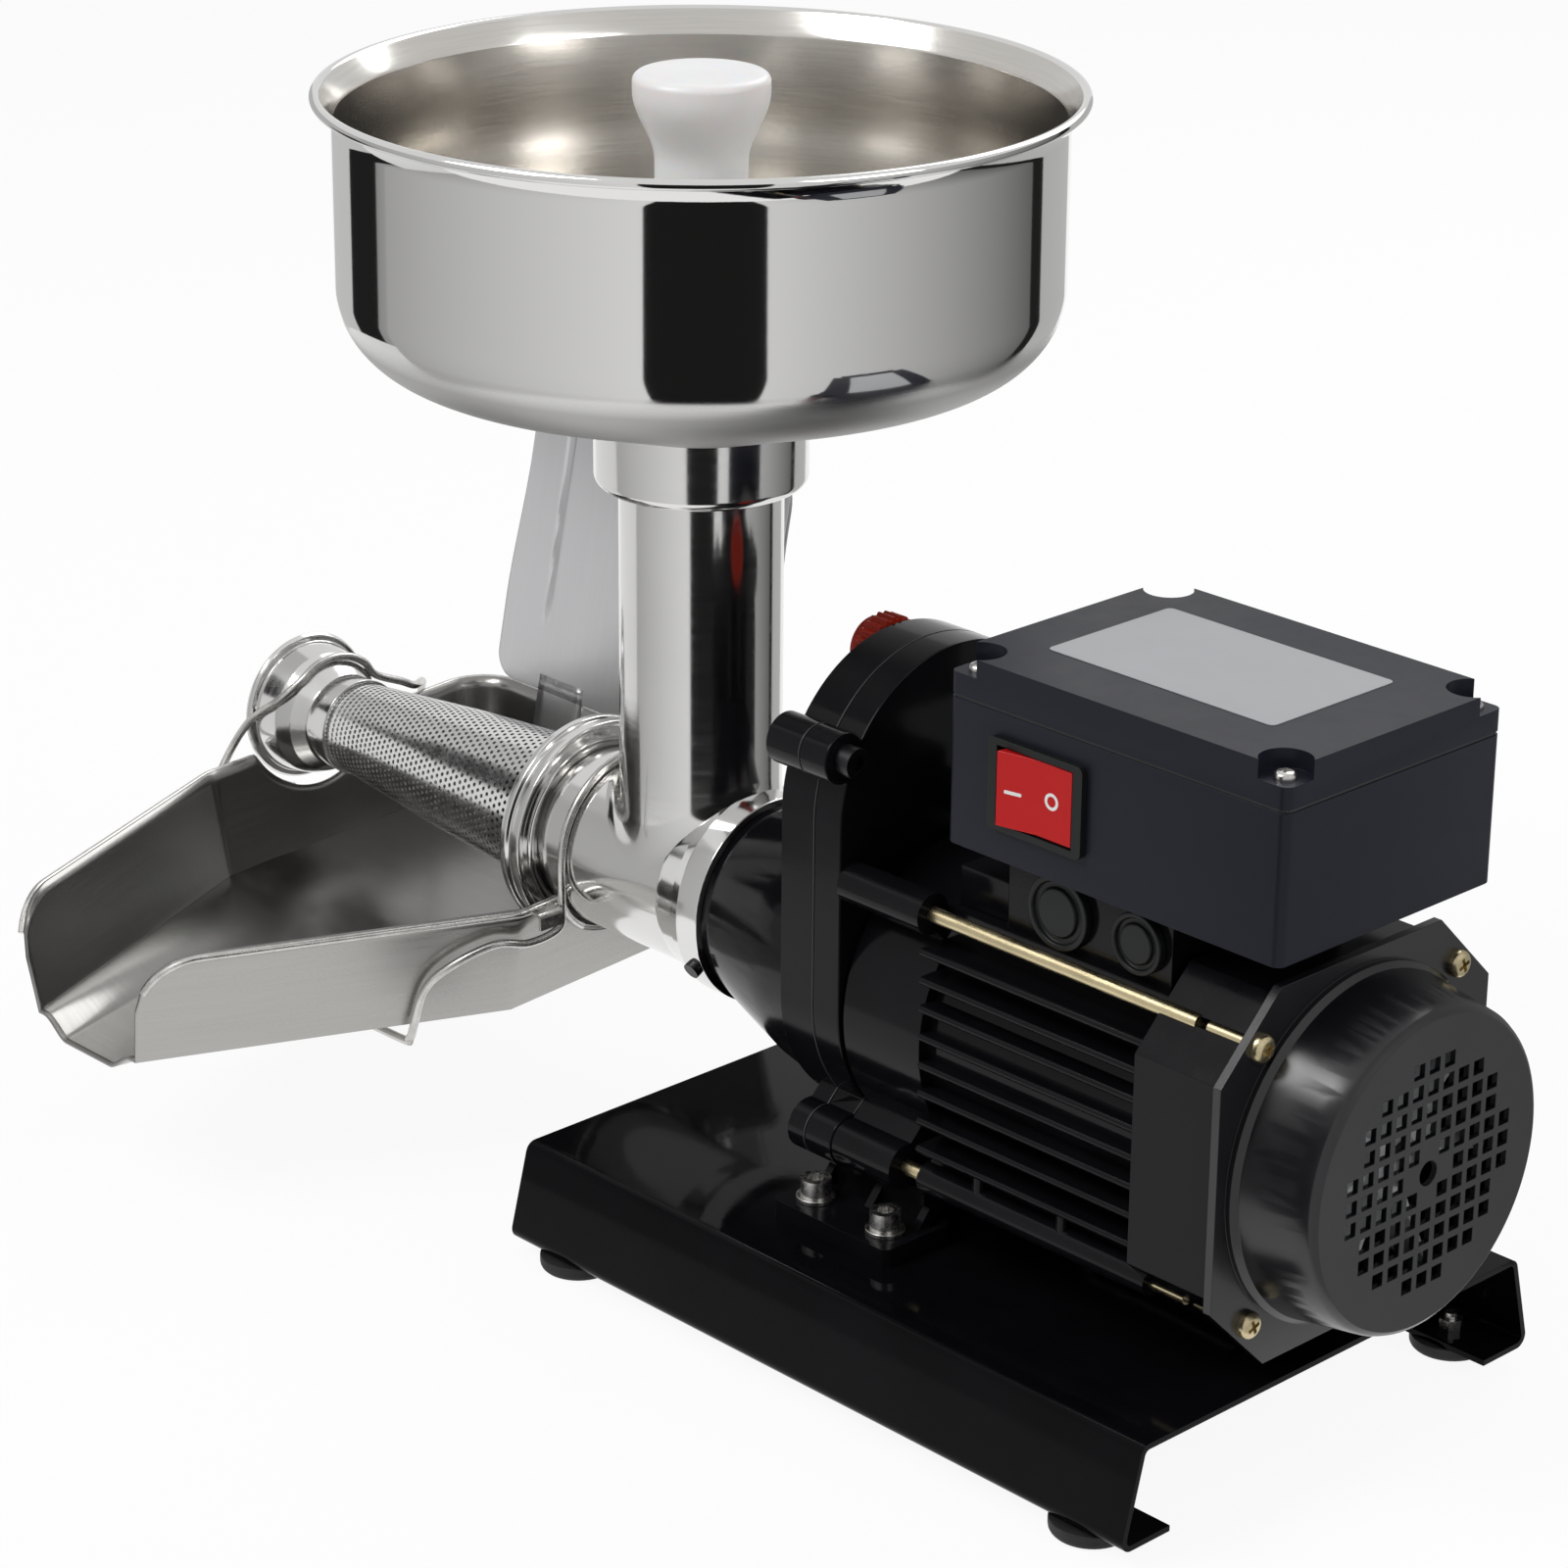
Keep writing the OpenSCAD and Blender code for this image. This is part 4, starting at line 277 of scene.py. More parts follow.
def joined(*parts):
    """Several (points, faces) as one."""
    points, faces, start = [], [], 0
    for p, f in parts:
        p = np.asarray(p, float).reshape(-1, 3)
        points.append(p)
        faces += [[int(i) + start for i in face] for face in f]
        start += len(p)
    return np.concatenate(points), faces


def softened(node, finish, body, slot, width, angle=30):
    """A copy of a CAD node whose sharp edges are rounded to the width, in its place. The
    copy's points are merged and its flat areas joined before the edges are rounded."""
    bm = bmesh.new()
    bm.from_mesh(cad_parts[node].data)
    for layer in list(bm.loops.layers.float_vector.keys()):
        bm.loops.layers.float_vector.remove(bm.loops.layers.float_vector[layer])
    bmesh.ops.remove_doubles(bm, verts=bm.verts, dist=MERGE_CAD)
    bmesh.ops.dissolve_limit(bm, angle_limit=FLAT_ANGLE, verts=bm.verts, edges=bm.edges)
    mesh = bpy.data.meshes.new(node + "_cast")
    bm.to_mesh(mesh)
    bm.free()
    if "custom_normal" in mesh.attributes:
        mesh.attributes.remove(mesh.attributes["custom_normal"])
    mesh.shade_smooth()
    mesh.set_sharp_from_angle(angle=math.radians(angle + 5))
    bevel = dict(width=width, segments=2, limit_method="ANGLE", angle_limit=math.radians(angle),
                 harden_normals=True, use_clamp_overlap=True, miter_outer="MITER_ARC")
    place(node + "_cast", mesh, finish, body, [node], [("BEVEL", bevel)])


# -------------------- finishes

def put(node, key, value):
    """Sets a node's input, by name or number, to a value, a socket or a node's first output."""
    if isinstance(value, bpy.types.Node):
        value = value.outputs[0]
    if isinstance(value, bpy.types.NodeSocket):
        node.id_data.links.new(value, node.inputs[key])
    else:
        node.inputs[key].default_value = value


def node_of(tree, kind, inputs=(), **settings):
    """Adds a shader node with its settings and inputs."""
    node = tree.nodes.new("ShaderNode" + kind)
    for key, value in settings.items():
        setattr(node, key, value)
    for key, value in dict(inputs).items():
        put(node, key, value)
    return node


def feed(made, socket, value):
    """Sets an input of a material's shader."""
    put(made.node_tree.nodes["Principled BSDF"], socket, value)


def material(name, base, roughness, metallic=0.0, **constant):
    """A Principled material. Constants go straight onto the shader's sockets."""
    made = bpy.data.materials.new(PREFIX + name)
    made.use_nodes = True
    constant.update(Base_Color=(*base, 1.0), Roughness=roughness, Metallic=metallic)
    for key, value in constant.items():
        feed(made, key.replace("_", " "), value)
    return made


def noise(made, scale, detail=3.0, stretch=(1, 1, 1), roughness=0.55, grain=False):
    """Noise on Object coordinates, or on a piece's own grain, stretched by a Mapping node."""
    tree = made.node_tree
    if grain:
        where = node_of(tree, "Attribute", attribute_name="grain").outputs["Vector"]
    else:
        where = node_of(tree, "TexCoord").outputs["Object"]
    mapping = node_of(tree, "Mapping", {"Vector": where, "Scale": stretch})
    return node_of(tree, "TexNoise", {
        "Vector": mapping, "Scale": scale, "Detail": detail, "Roughness": roughness})


def vary(made, value, socket, low, high, start=0.3, end=0.7):
    """Maps a noise value onto a shader socket, from low to high: numbers or colours."""
    if isinstance(low, tuple):
        mapped = node_of(made.node_tree, "ValToRGB", {"Fac": value})
        for stop, at, tone in zip(mapped.color_ramp.elements, (start, end), (low, high)):
            stop.position, stop.color = at, (*tone, 1)
    else:
        mapped = node_of(made.node_tree, "MapRange", {
            "Value": value, "From Min": start, "From Max": end, "To Min": low, "To Max": high})
    feed(made, socket, mapped)


def bump(made, value, strength, distance=0.0002):
    """Lets a noise value raise the surface by up to the distance in metres."""
    feed(made, "Normal", node_of(made.node_tree, "Bump", {
        "Height": value, "Strength": strength, "Distance": distance}))


def shaded(base, factor):
    """A colour times a factor, kept under 1."""
    return tuple(min(1.0, c * factor) for c in base)


def enamel_black(name, base, low, high, level):
    """Enamel: deep black with a fine orange peel and a slightly uneven gloss."""
    made = material(name, base, low, 0.0, Specular_IOR_Level=level)
    vary(made, noise(made, 30, 4), "Base Color", shaded(base, 0.8), shaded(base, 1.35))
    vary(made, noise(made, 55, 3), "Roughness", low, high)
    bump(made, noise(made, 420, 2), 0.05)


def moulded(name, base, low, high, grain=900, lift=0.06, spread=0.12, level=0.5, **constant):
    """Moulded plastic: a fine even grain and a slow change of tone."""
    made = material(name, base, low, 0.0, Specular_IOR_Level=level, **constant)
    vary(made, noise(made, 22, 3), "Base Color", shaded(base, 1 - spread), shaded(base, 1 + spread))
    vary(made, noise(made, 70, 3), "Roughness", low, high)
    bump(made, noise(made, grain, 2), lift)


def polished(name, base, low, high, stretch=(1, 1, 9), scale=60):
    """Mirror-polished steel: faint lines left by the polishing wheel, thin haze."""
    made = material(name, base, low, 1.0)
    vary(made, noise(made, scale, 5, stretch), "Roughness", low, high, 0.35, 0.72)
    vary(made, noise(made, 14, 3), "Base Color", shaded(base, 0.94), shaded(base, 1.03))
    bump(made, noise(made, 5 * scale, 3, stretch), 0.018)


def spun(name, base, belt=0.303, wall=0.311):
    """Spun bowl: mirror-polished wall, and below the belt a satin underside whose steel colour is
    darkened, painted shade under the bowl.
    """
    made = material(name, base, 0.055, 1.0)
    tree = made.node_tree
    split = node_of(tree, "SeparateXYZ", {"Vector": node_of(tree, "TexCoord").outputs["Object"]})
    share = node_of(tree, "MapRange", {
        "Value": split.outputs["Z"], "From Min": belt, "From Max": wall})
    vary(made, share, "Roughness", 0.50, 0.055, 0.0, 1.0)
    # Below the belt the colour drops to 0.66 of the steel: painted shade on the underside.
    vary(made, share, "Base Color", shaded(base, 0.66), base, 0.0, 1.0)
    bump(made, noise(made, 300, 3, (1, 1, 9)), 0.018)


def brushed(name, base, low, high, stretch, scale, lift, spread=0.14, grain=False):
    """Brushed sheet: long streaks along one direction in tone, gloss and height."""
    made = material(name, base, low, 1.0)
    streaks = noise(made, scale, 6, stretch, 0.62, grain)
    vary(made, streaks, "Roughness", low, high, 0.3, 0.72)
    vary(made, noise(made, 0.6 * scale, 6, stretch, 0.6, grain), "Base Color",
         shaded(base, 1 - spread), shaded(base, 1 + spread))
    bump(made, streaks, lift, 0.0003)


def finish_of(name):
    """A finish by its name. All are made once, from the scene's colours."""
    if PREFIX + name not in bpy.data.materials:
        make_finishes()
    return bpy.data.materials[PREFIX + name]


def make_finishes():
    """Makes every finish."""
    c = bpy.context.scene.press_colours
    enamel, box, steel, satin, red, white, zinc = (tuple(k) for k in (
        c.enamel, c.box, c.steel, c.satin, c.red, c.white, c.zinc))
    enamel_black("enamel", shaded(enamel, 0.7), 0.10, 0.17, 0.16)
    enamel_black("base enamel", shaded(enamel, 0.45), 0.05, 0.10, 0.07)
    enamel_black("cowl enamel", enamel, 0.20, 0.28, 0.60)
    moulded("box", box, 0.30, 0.40, 1100, 0.05, 0.05, level=0.16)
    moulded("dark plastic", (0.008, 0.009, 0.0088), 0.3, 0.42, level=0.25)
    moulded("fan plastic", (0.72, 0.73, 0.73), 0.4, 0.55, 900, 0.06, 0.04)
    moulded("rubber", (0.009, 0.009, 0.009), 0.6, 0.78, 500, 0.2)
    moulded("gasket", (0.02, 0.021, 0.023), 0.5, 0.65, 500, 0.15)
    moulded("red", red, 0.26, 0.36, 700, 0.05, 0.08, level=0.15)
    moulded("rocker", (0.50, 0.009, 0.010), 0.14, 0.2, 700, 0.02, 0.05, level=0.2)
    moulded("mark white", (0.78, 0.78, 0.76), 0.35, 0.45, 900, 0.06, 0.02)
    moulded("label white", (0.36, 0.365, 0.38), 0.45, 0.55, 300, 0.02, 0.015, level=0.2)
    moulded("white plastic", white, 0.30, 0.40, 500, 0.02, 0.015,
            Subsurface_Weight=0.35, Subsurface_Scale=0.008, IOR=1.49)
    polished("polished", steel, 0.10, 0.15)
    spun("spun", steel)
    # The bowl's inside is a darker steel than its outside: painted shade in the hollow, over real
    # brushed rings.
    brushed("bowl inside", (0.60, 0.58, 0.55), 0.14, 0.19, (1.5, 1.5, 60), 30, 0.012, 0.04)
    polished("polished x", steel, 0.12, 0.18, (9, 1, 1), 70)
    polished("perforated", (0.82, 0.815, 0.81), 0.16, 0.24, (4, 1, 1), 90)
    brushed("satin", satin, 0.26, 0.31, (1, 34, 1), 26, 0.008, 0.03, True)
    # A darker copy of the satin for the tray's inner side: painted shade inside the tray.
    brushed("satin inside", shaded(satin, 0.66), 0.22, 0.27, (1, 34, 1), 26, 0.008, 0.04, True)
    brushed("satin guard", (0.60, 0.60, 0.61), 0.28, 0.33, (1, 30, 1), 22, 0.006, 0.015, True)
    brushed("zinc steel", (0.62, 0.61, 0.59), 0.2, 0.34, (6, 6, 6), 90, 0.05)
    brushed("wire steel", (0.60, 0.59, 0.57), 0.2, 0.32, (3, 3, 3), 120, 0.04)
    brushed("yellow zinc", zinc, 0.2, 0.36, (1.2, 9, 9), 90, 0.06)
    brushed("dark steel", (0.045, 0.045, 0.048), 0.3, 0.42, (3, 3, 3), 90, 0.05)
    brushed("ground steel", (0.5, 0.5, 0.5), 0.18, 0.3, (8, 1, 1), 120, 0.04)
    brushed("lamination", (0.26, 0.27, 0.28), 0.35, 0.5, (40, 1, 1), 60, 0.2)
    brushed("copper wire", (0.52, 0.2, 0.08), 0.3, 0.42, (2, 14, 14), 80, 0.3)
    brushed("bronze", (0.5, 0.33, 0.13), 0.25, 0.38, (3, 3, 3), 90, 0.06)
    brushed("cast alloy", (0.58, 0.585, 0.59), 0.34, 0.5, (2, 2, 2), 160, 0.2)


# -------------------- stage

def aim_camera():
    """The camera of the photograph: its place, the three directions of its frame and its
    lens, worked out from the rims, tubes and box edges that the photograph shows."""
    data = bpy.data.cameras.new("Camera")
    data.lens, data.sensor_width, data.sensor_fit = 105.36, 36.0, "HORIZONTAL"
    data.clip_start, data.clip_end = 0.05, 50.0
    camera = linked("Camera", data)
    right, up = Vector((0.6912, 0.7227, 0.0)), Vector((-0.2651, 0.2535, 0.9303))
    back = Vector((0.6723, -0.6430, 0.3668))
    roll = math.radians(0.46)
    x = (right * math.cos(roll) + up * math.sin(roll)).normalized()
    z = back.normalized()
    y = z.cross(x).normalized()
    x = y.cross(z)
    camera.matrix_world = Matrix.Translation((0.91486, -0.97816, 0.71004)) @ Matrix(
        (x, y, z)).transposed().to_4x4()
    bpy.context.scene.camera = camera


def plain_tree(holder):
    """The emptied node tree of a material or world."""
    holder.use_nodes = True
    holder.node_tree.nodes.clear()
    return holder.node_tree


def surfaced(name, mesh, tree, surface):
    """An object for the mesh, with the shader node as its material's surface."""
    node_of(tree, "OutputMaterial", {"Surface": surface})
    mesh.materials.append(bpy.data.materials[name])
    return linked(name, mesh)


def reflector(name, start, end, low, high, shade0, shade1):
    """A curved studio card: a strip of a cylinder round the feed tube's axis, seen in gloss
    only. Its grey goes from shade0 to shade1 along its width."""
    columns = 24
    a = np.repeat(np.radians(np.linspace(start, end, columns)), 2)
    points = np.stack([FEED_X * MM + CARD_RADIUS * np.cos(a), CARD_RADIUS * np.sin(a),
                       np.tile([low, high], columns)], -1)
    faces = quads(columns, 2)
    mesh = bpy.data.meshes.new(name)
    mesh.from_pydata(points.tolist(), [], faces.tolist())
    index = faces.ravel()
    at = np.stack([index // 2 / (columns - 1), index % 2], -1)
    mesh.uv_layers.new(name="UVMap").data.foreach_set("uv", at.astype(np.float32).ravel())
    tree = plain_tree(bpy.data.materials.new(name))
    split = node_of(tree, "SeparateXYZ", {"Vector": node_of(tree, "TexCoord").outputs["UV"]})
    ramp = node_of(tree, "MapRange", {"Value": split, "To Min": shade0, "To Max": shade1})
    card = surfaced(name, mesh, tree, node_of(tree, "Emission", {"Strength": ramp}))
    for ray in ("camera", "diffuse", "transmission", "volume_scatter", "shadow"):
        setattr(card, "visible_" + ray, False)


def make_floor(reach=40, share=0.92):
    """A floor out to the reach in metres: grey under light, and for that share plain white to
    the camera and in gloss."""
    mesh = bpy.data.meshes.new("floor")
    mesh.from_pydata([(-reach, -reach, 0), (reach, -reach, 0), (reach, reach, 0),
                      (-reach, reach, 0)], [], [(0, 1, 2, 3)])
    tree = plain_tree(bpy.data.materials.new("floor"))
    rays = node_of(tree, "LightPath").outputs
    seen = node_of(tree, "Math", {0: rays["Is Camera Ray"], 1: rays["Is Glossy Ray"]},
                   operation="MAXIMUM")
    mix = node_of(tree, "MixShader", {
        "Fac": node_of(tree, "Math", {0: seen, 1: share}, operation="MULTIPLY"),
        1: node_of(tree, "BsdfDiffuse", {"Color": (0.9, 0.9, 0.9, 1)}),
        2: node_of(tree, "Emission", {"Color": WHITE})})
    floor = surfaced("floor", mesh, tree, mix)


def make_world(scene, light=0.304, gloss=0.713):
    """A world that is white to the camera and in transmission and has the light's strength
    for other rays. Gloss sees light + (1 - light) gloss = 0.8."""
    scene.world = bpy.data.worlds.new("Studio")
    tree = plain_tree(scene.world)
    rays = node_of(tree, "LightPath").outputs
    seen = node_of(tree, "Math", {
        0: rays["Is Glossy Ray"], 1: gloss, 2: rays["Is Camera Ray"]}, operation="MULTIPLY_ADD")
    most = node_of(tree, "Math", {0: seen, 1: rays["Is Transmission Ray"]}, operation="MAXIMUM")
    strength = node_of(tree, "MapRange", {"Value": most, "To Min": light, "To Max": 1.0})
    glow = node_of(tree, "Background", {"Color": WHITE, "Strength": strength})
    node_of(tree, "OutputWorld", {"Surface": glow})


def lamp(name, place_at, size, power):
    """A square area lamp that looks at the press."""
    data = bpy.data.lights.new(name, "AREA")
    data.shape, data.size, data.energy = "SQUARE", size, power
    light = linked(name, data)
    light.location = place_at
    light.rotation_euler = (AIM - Vector(place_at)).to_track_quat("-Z", "Y").to_euler()


class PRESS_OT_stage(bpy.types.Operator):
    """Make the camera, floor, cards, lamps and world"""
    bl_idname = "press.stage"
    bl_label = "Stage"

    def execute(self, context):
        scene = context.scene
        scene.view_settings.view_transform = "Standard"
        aim_camera()
        make_floor()
        make_world(scene)
        lamp("key", (-0.6, -1.3, 1.7), 1.0, 24)
        lamp("fill", (1.5, 0.2, 1.1), 1.0, 11)
        lamp("back", (-0.4, 1.5, 1.4), 1.2, 13)
        # name, from and to azimuth, low and high edge, grey from and to
        for card in (("card_front", -57.4, -25.9, -0.02, 0.45, 0.012, 0.012),
                     ("card_left", -141, -57.4, -0.02, 0.45, 0.42, 0.80),
                     ("card_left_line", -164.6, -146, 0.185, 0.30, 0.015, 0.015),
                     ("card_left_soft", -146, -141, 0.185, 0.30, 0.30, 0.36),
                     ("card_left_edge", -190, -164.6, 0.185, 0.30, 0.55, 0.60),
                     ("card_left_high", -190, -141, 0.30, 0.45, 0.50, 0.50),
                     ("card_left_low", -190, -141, -0.02, 0.185, 0.86, 0.74),
                     ("card_right", -25.9, 64.5, -0.02, 0.45, 0.74, 0.14),
                     ("card_right_line", 64.5, 71.5, -0.02, 0.45, 0.015, 0.015),
                     ("card_right_edge", 71.5, 100, -0.02, 0.45, 0.50, 0.50)):
            reflector(*card)
        return {"FINISHED"}


# -------------------- press pieces

class PRESS_OT_bowl(bpy.types.Operator):
    """Make the polished bowl and the white pusher"""
    bl_idname = "press.bowl"
    bl_label = "Bowl and pusher"

    def execute(self, context):
        s = context.scene.press_sizes
        rim, wall, top, t = (v / MM for v in (s.rim_radius, s.bowl_radius, s.bowl_top, s.sheet))
        bead, corner_r, corner_z, floor_z, hole = 1.8, 28.0, 317.5, 270.0, 25.6
        angle = np.radians(np.linspace(-75, 0, 26))
        turn = np.stack([np.cos(angle), np.sin(angle)], -1)
        outer = [wall - corner_r, corner_z] + corner_r * turn
        inner = [wall - corner_r, corner_z] + (corner_r - t) * turn
        roll = np.radians(np.linspace(-135, 150, 26))
        lip = [rim - bead, top - bead] + bead * np.stack([np.cos(roll), np.sin(roll)], -1)
        flare_out = bent((wall, top - 10.0), (wall, top - 7.5), lip[0], 9)
        flare_in = bent(lip[-1], (wall - t, top - 8.4), (wall - t, top - 9.0), 9)
        collar = rounded([(hole, floor_z + 0.1, 0), (34.0, floor_z + 0.1, 0), (34.0, 252.5, 4),
                          (27.9, 249.1, 0), (27.9, 247.6, 0.4), (35.6, 247.6, 4.8),
                          (35.6, floor_z, 0)], 8, False)
        shell = np.concatenate([collar[-1:], outer, flare_out[:-1], lip])
        add_piece("bowl_outside", round_feed(shell, 224), "spun", "bowl",
                  ["hopper"], 40, recalc=False)
        add_piece("bowl_collar", round_feed(collar, 144), "polished", "bowl",
                  sharp=40, recalc=False)
        liner = np.concatenate([flare_in, inner[::-1], [
            [36.0, floor_z + t], [hole, floor_z + t], [hole, floor_z + 0.1]]])
        # The inner shell takes the darker brushed steel: painted shade inside the bowl.
        add_piece("bowl_inside", round_feed(liner, 224), "bowl inside", "bowl",
                  sharp=40, recalc=False)

        head, shaft, foot, neck_z, crown_z = s.pusher_radius / MM, 15.2, 135.4, 356.0, 378.2
        share = np.linspace(0, 1, 18)
        neck = np.stack([shaft + (head - shaft) * share ** 2 * (3 - 2 * share),
                         neck_z + (crown_z - neck_z) * share], -1)
        body = rounded([(0, foot, 0), (24.5, foot, 1.5), (24.5, foot + 26.9, 1.5),
                        (shaft, foot + 27.0, 2), (shaft, neck_z - 1, 0)], 6, False)
        crown = rounded([(head, crown_z + 0.4, 0), (head, 384.4, 4.2), (16.5, 384.4, 3),
                         (9.0, 383.0, 8), (0, 382.9, 0)], 8, False)
        add_piece("pusher_white", round_feed(np.concatenate([body, neck, crown]), 112),
                  "white plastic", "plunger", ["pusher"], 50)
        return {"FINISHED"}


def tube_saddle(radius, bar_radius, top, reach, side_reach, segments=160):
    """The outside of an upright tube that flows into a lying one. For each direction a about
    the upright axis the wall comes down straight and then follows the parabola whose end
    touches the lying tube at radius + reach cos^2 a + side_reach sin^2 a."""
    a = np.linspace(0, 2 * math.pi, segments, endpoint=False)[:, None]
    end = radius + reach * np.cos(a) ** 2 + side_reach * np.sin(a) ** 2
    sine2 = np.sin(a) ** 2
    z_end = np.sqrt(np.maximum(bar_radius ** 2 - end ** 2 * sine2, 4.0))
    slope = end * sine2 / z_end
    z_mid = z_end + (end - radius) * slope
    z_start = z_mid + reach * 1.1
    t = np.linspace(0, 1, 12)[None, :]
    r = (1 - t) ** 2 * radius + 2 * t * (1 - t) * radius + t ** 2 * end
    z = (1 - t) ** 2 * z_start + 2 * t * (1 - t) * z_mid + t ** 2 * z_end
    r = np.concatenate([np.full((segments, 1), radius), r, end - 1.2], 1)
    z = np.concatenate([np.full((segments, 1), top), z, z_end - 2.0], 1)
    return r, z, a


class PRESS_OT_feed(bpy.types.Operator):
    """Make the polished feed body: the lying tube with its sleeve, and the upright tube"""
    bl_idname = "press.feed"
    bl_label = "Feed body"

    def execute(self, context):
        radius, bar, wall, top = 27.5, 31.5, 2.0, 269.6 - AXIS_Z
        outer = rounded([(36.0, -205.8, 0.5), (36.0, -201.3, 0.5), (bar, -201.3, 1.5),
                         (bar, -136, 8), (34.2, -126.5, 3), (35.9, -121.8, 1.0),
                         (35.9, -112.1, 0.5), (30.35, -112.1, 0.3), (30.35, -122.2, 0),
                         (29.5, -122.2, 0), (29.5, -205.8, 0.3)], 7)
        r, z, a = tube_saddle(radius, bar, top, 7.0, 2.4)
        r = np.concatenate([r, np.full((len(a), 2), radius - wall)], 1)
        z = np.concatenate([z, np.full((len(a), 1), 8.0), np.full((len(a), 1), top)], 1)
        points = np.stack([FEED_X + r * np.cos(a), r * np.sin(a), AXIS_Z + z], -1)
        upright = (points, quads(len(a), r.shape[1], True, True))
        add_piece("feed_polished", joined(round_axis(outer, 176), upright), "polished",
                  "machine", ["feed_body"], 38)
        return {"FINISHED"}


def cone_radius(x):
    """Outer radius of the perforated cone, straight from 27.6 to 22.6 and on to 15.8."""
    s = (CONE_X0 - x) / (CONE_X0 - CONE_X1)
    return np.where(s < 0.5, 27.6 - 10.0 * s, 22.6 - 13.6 * (s - 0.5))


def perforated(x_start, x_end, hole, pitch, around, wall):
    """A cone sheet of square cells, each with an eight-sided hole: the cell's corners and
    mid-sides join the hole's corners, on the outer and the inner skin, and the hole's wall
    joins both skins. Every second row is turned by half a cell."""
    rows = int(round((x_start - x_end) / pitch))
    i, j = np.meshgrid(np.arange(rows), np.arange(around), indexing="ij")
    cx = x_start - (i + 0.5) * (x_start - x_end) / rows
    ca = (j + 0.5 * (i % 2)) * 2 * math.pi / around
    k = np.arange(8)
    edge = np.array([(-1, -1), (0, -1), (1, -1), (1, 0), (1, 1), (0, 1), (-1, 1), (-1, 0)], float)
    turn = np.radians(225 + 45 * k)
    half_x, half_a = (x_start - x_end) / rows / 2, math.pi / around
    layers = []
    for depth in (0.0, wall):
        for kind in (0, 1):
            if kind == 0:
                x = cx[..., None] + half_x * edge[:, 0]
                a = ca[..., None] + half_a * edge[:, 1]
            else:
                x = cx[..., None] + hole * np.cos(turn)
                a = ca[..., None] + hole * np.sin(turn) / cone_radius(cx)[..., None]
            r = cone_radius(x) - depth
            layers.append(np.stack([x, r * np.cos(a), AXIS_Z + r * np.sin(a)], -1))
    points = np.stack(layers, 2).reshape(-1, 3)
    base = 32 * np.arange(rows * around)[:, None]
    k1 = (k + 1) % 8
    faces = []
    for low, high in ((0, 8), (8, 24), (24, 16)):
        cell = [base + low + k, base + low + k1, base + high + k1, base + high + k]
        faces.append(np.stack(cell, -1).reshape(-1, 4))
    return points, np.concatenate(faces)


class PRESS_OT_cone(bpy.types.Operator):
    """Make the perforated cone, its clamp ring and the outlet"""
    bl_idname = "press.cone"
    bl_label = "Cone, ring and outlet"

    def execute(self, context):
        s = context.scene.press_sizes
        start, end, skin = -213.0, -338.0, 0.8
        sheet = perforated(start, end, s.hole_radius / MM, s.hole_pitch / MM, 60, skin)
        r0, r1 = float(cone_radius(start)), float(cone_radius(end))
        head = round_axis([(27.6, CONE_X0), (r0, start), (r0 - skin, start), (26.8, CONE_X0),
                           (26.8, CONE_X0 + 1.2), (35.8, CONE_X0 + 1.2), (35.8, CONE_X0)], 120)
        tail = round_axis([(r1, end), (15.8, CONE_X1), (15.0, CONE_X1), (r1 - skin, end)], 120)
        add_piece("cone_sheet", joined(sheet, head, tail), "perforated", "machine",
                  ["strainer_cone"], 40, recalc=False)

        ring = rounded([(27.95, -210.0, 0.4), (37.4, -210.0, 0.6), (38.9, -208.6, 1.0),
                        (38.9, -206.0, 0.8), (37.7, -205.2, 0.6), (37.7, -203.8, 0.6),
                        (38.9, -203.0, 0.8), (38.9, -199.1, 0.6), (36.35, -199.1, 0.3),
                        (36.35, -206.9, 0), (27.95, -206.9, 0)], 5)
        add_piece("clamp_ring", round_axis(ring, 160), "polished x", "machine",
                  ["strainer_ring"], 38)

        outlet = rounded([(16.9, -333.1, 0.2), (18.0, -333.1, 0.4), (17.1, -343.6, 2),
                          (20.9, -349.0, 4), (23.3, -354.5, 6), (24.8, -362.6, 2),
                          (24.9, -364.0, 0.6), (27.0, -364.0, 1.0), (27.9, -365.6, 0.8),
                          (27.3, -367.0, 0.7), (26.0, -366.6, 0.6), (24.6, -364.2, 1),
                          (23.6, -362.4, 2), (22.1, -354.9, 6), (19.6, -349.7, 4),
                          (15.8, -344.6, 2), (14.9, -342.2, 0), (15.9, -342.2, 0)], 6)
        add_piece("outlet_polished", round_axis(outlet, 144), "polished x", "machine",
                  ["outlet_funnel"], 38)
        return {"FINISHED"}


# -------------------- tray pieces

TRAY = SimpleNamespace(mid=-275.5, half=80.0, mouth=28.0, back=77.0, kink=46.0, front=167.2, z=55.0,
                       rise=7.6, flare=8.0, dip=6.5, corner=9.0, lip=20.0, neck_hole=33.1,
                       cone_hole=29.5)


def tray_half(y):
    """Half width of the tray's floor at each y: straight, then closing in to the spout, and
    rounded at the back corners."""
    t = TRAY
    spout = t.half - (t.half - t.mouth) * (-t.kink - y) / (t.front - t.kink)
    inset = np.clip(y - (t.back - t.corner), 0, t.corner)
    back = t.half - t.corner + np.sqrt(np.maximum(t.corner ** 2 - inset ** 2, 0))
    return np.where(y < -t.kink, spout, back)


def tray_floor_z(y):
    """Height of the floor's edges: level in the spout, rising towards the back."""
    t = TRAY
    return t.z + t.rise * np.clip(y + t.kink, 0, None) / (t.back + t.kink)


def cut_round(height, border, hole, where):
    """A wall's height, cut down where it meets a round hole about the machine's axis."""
    y, z = border[:, 1], border[:, 2]
    free = AXIS_Z - np.sqrt(np.maximum(hole ** 2 - y ** 2, 0)) - z
    return np.where(where & (np.abs(y) < hole - 0.1), np.minimum(height, free), height)


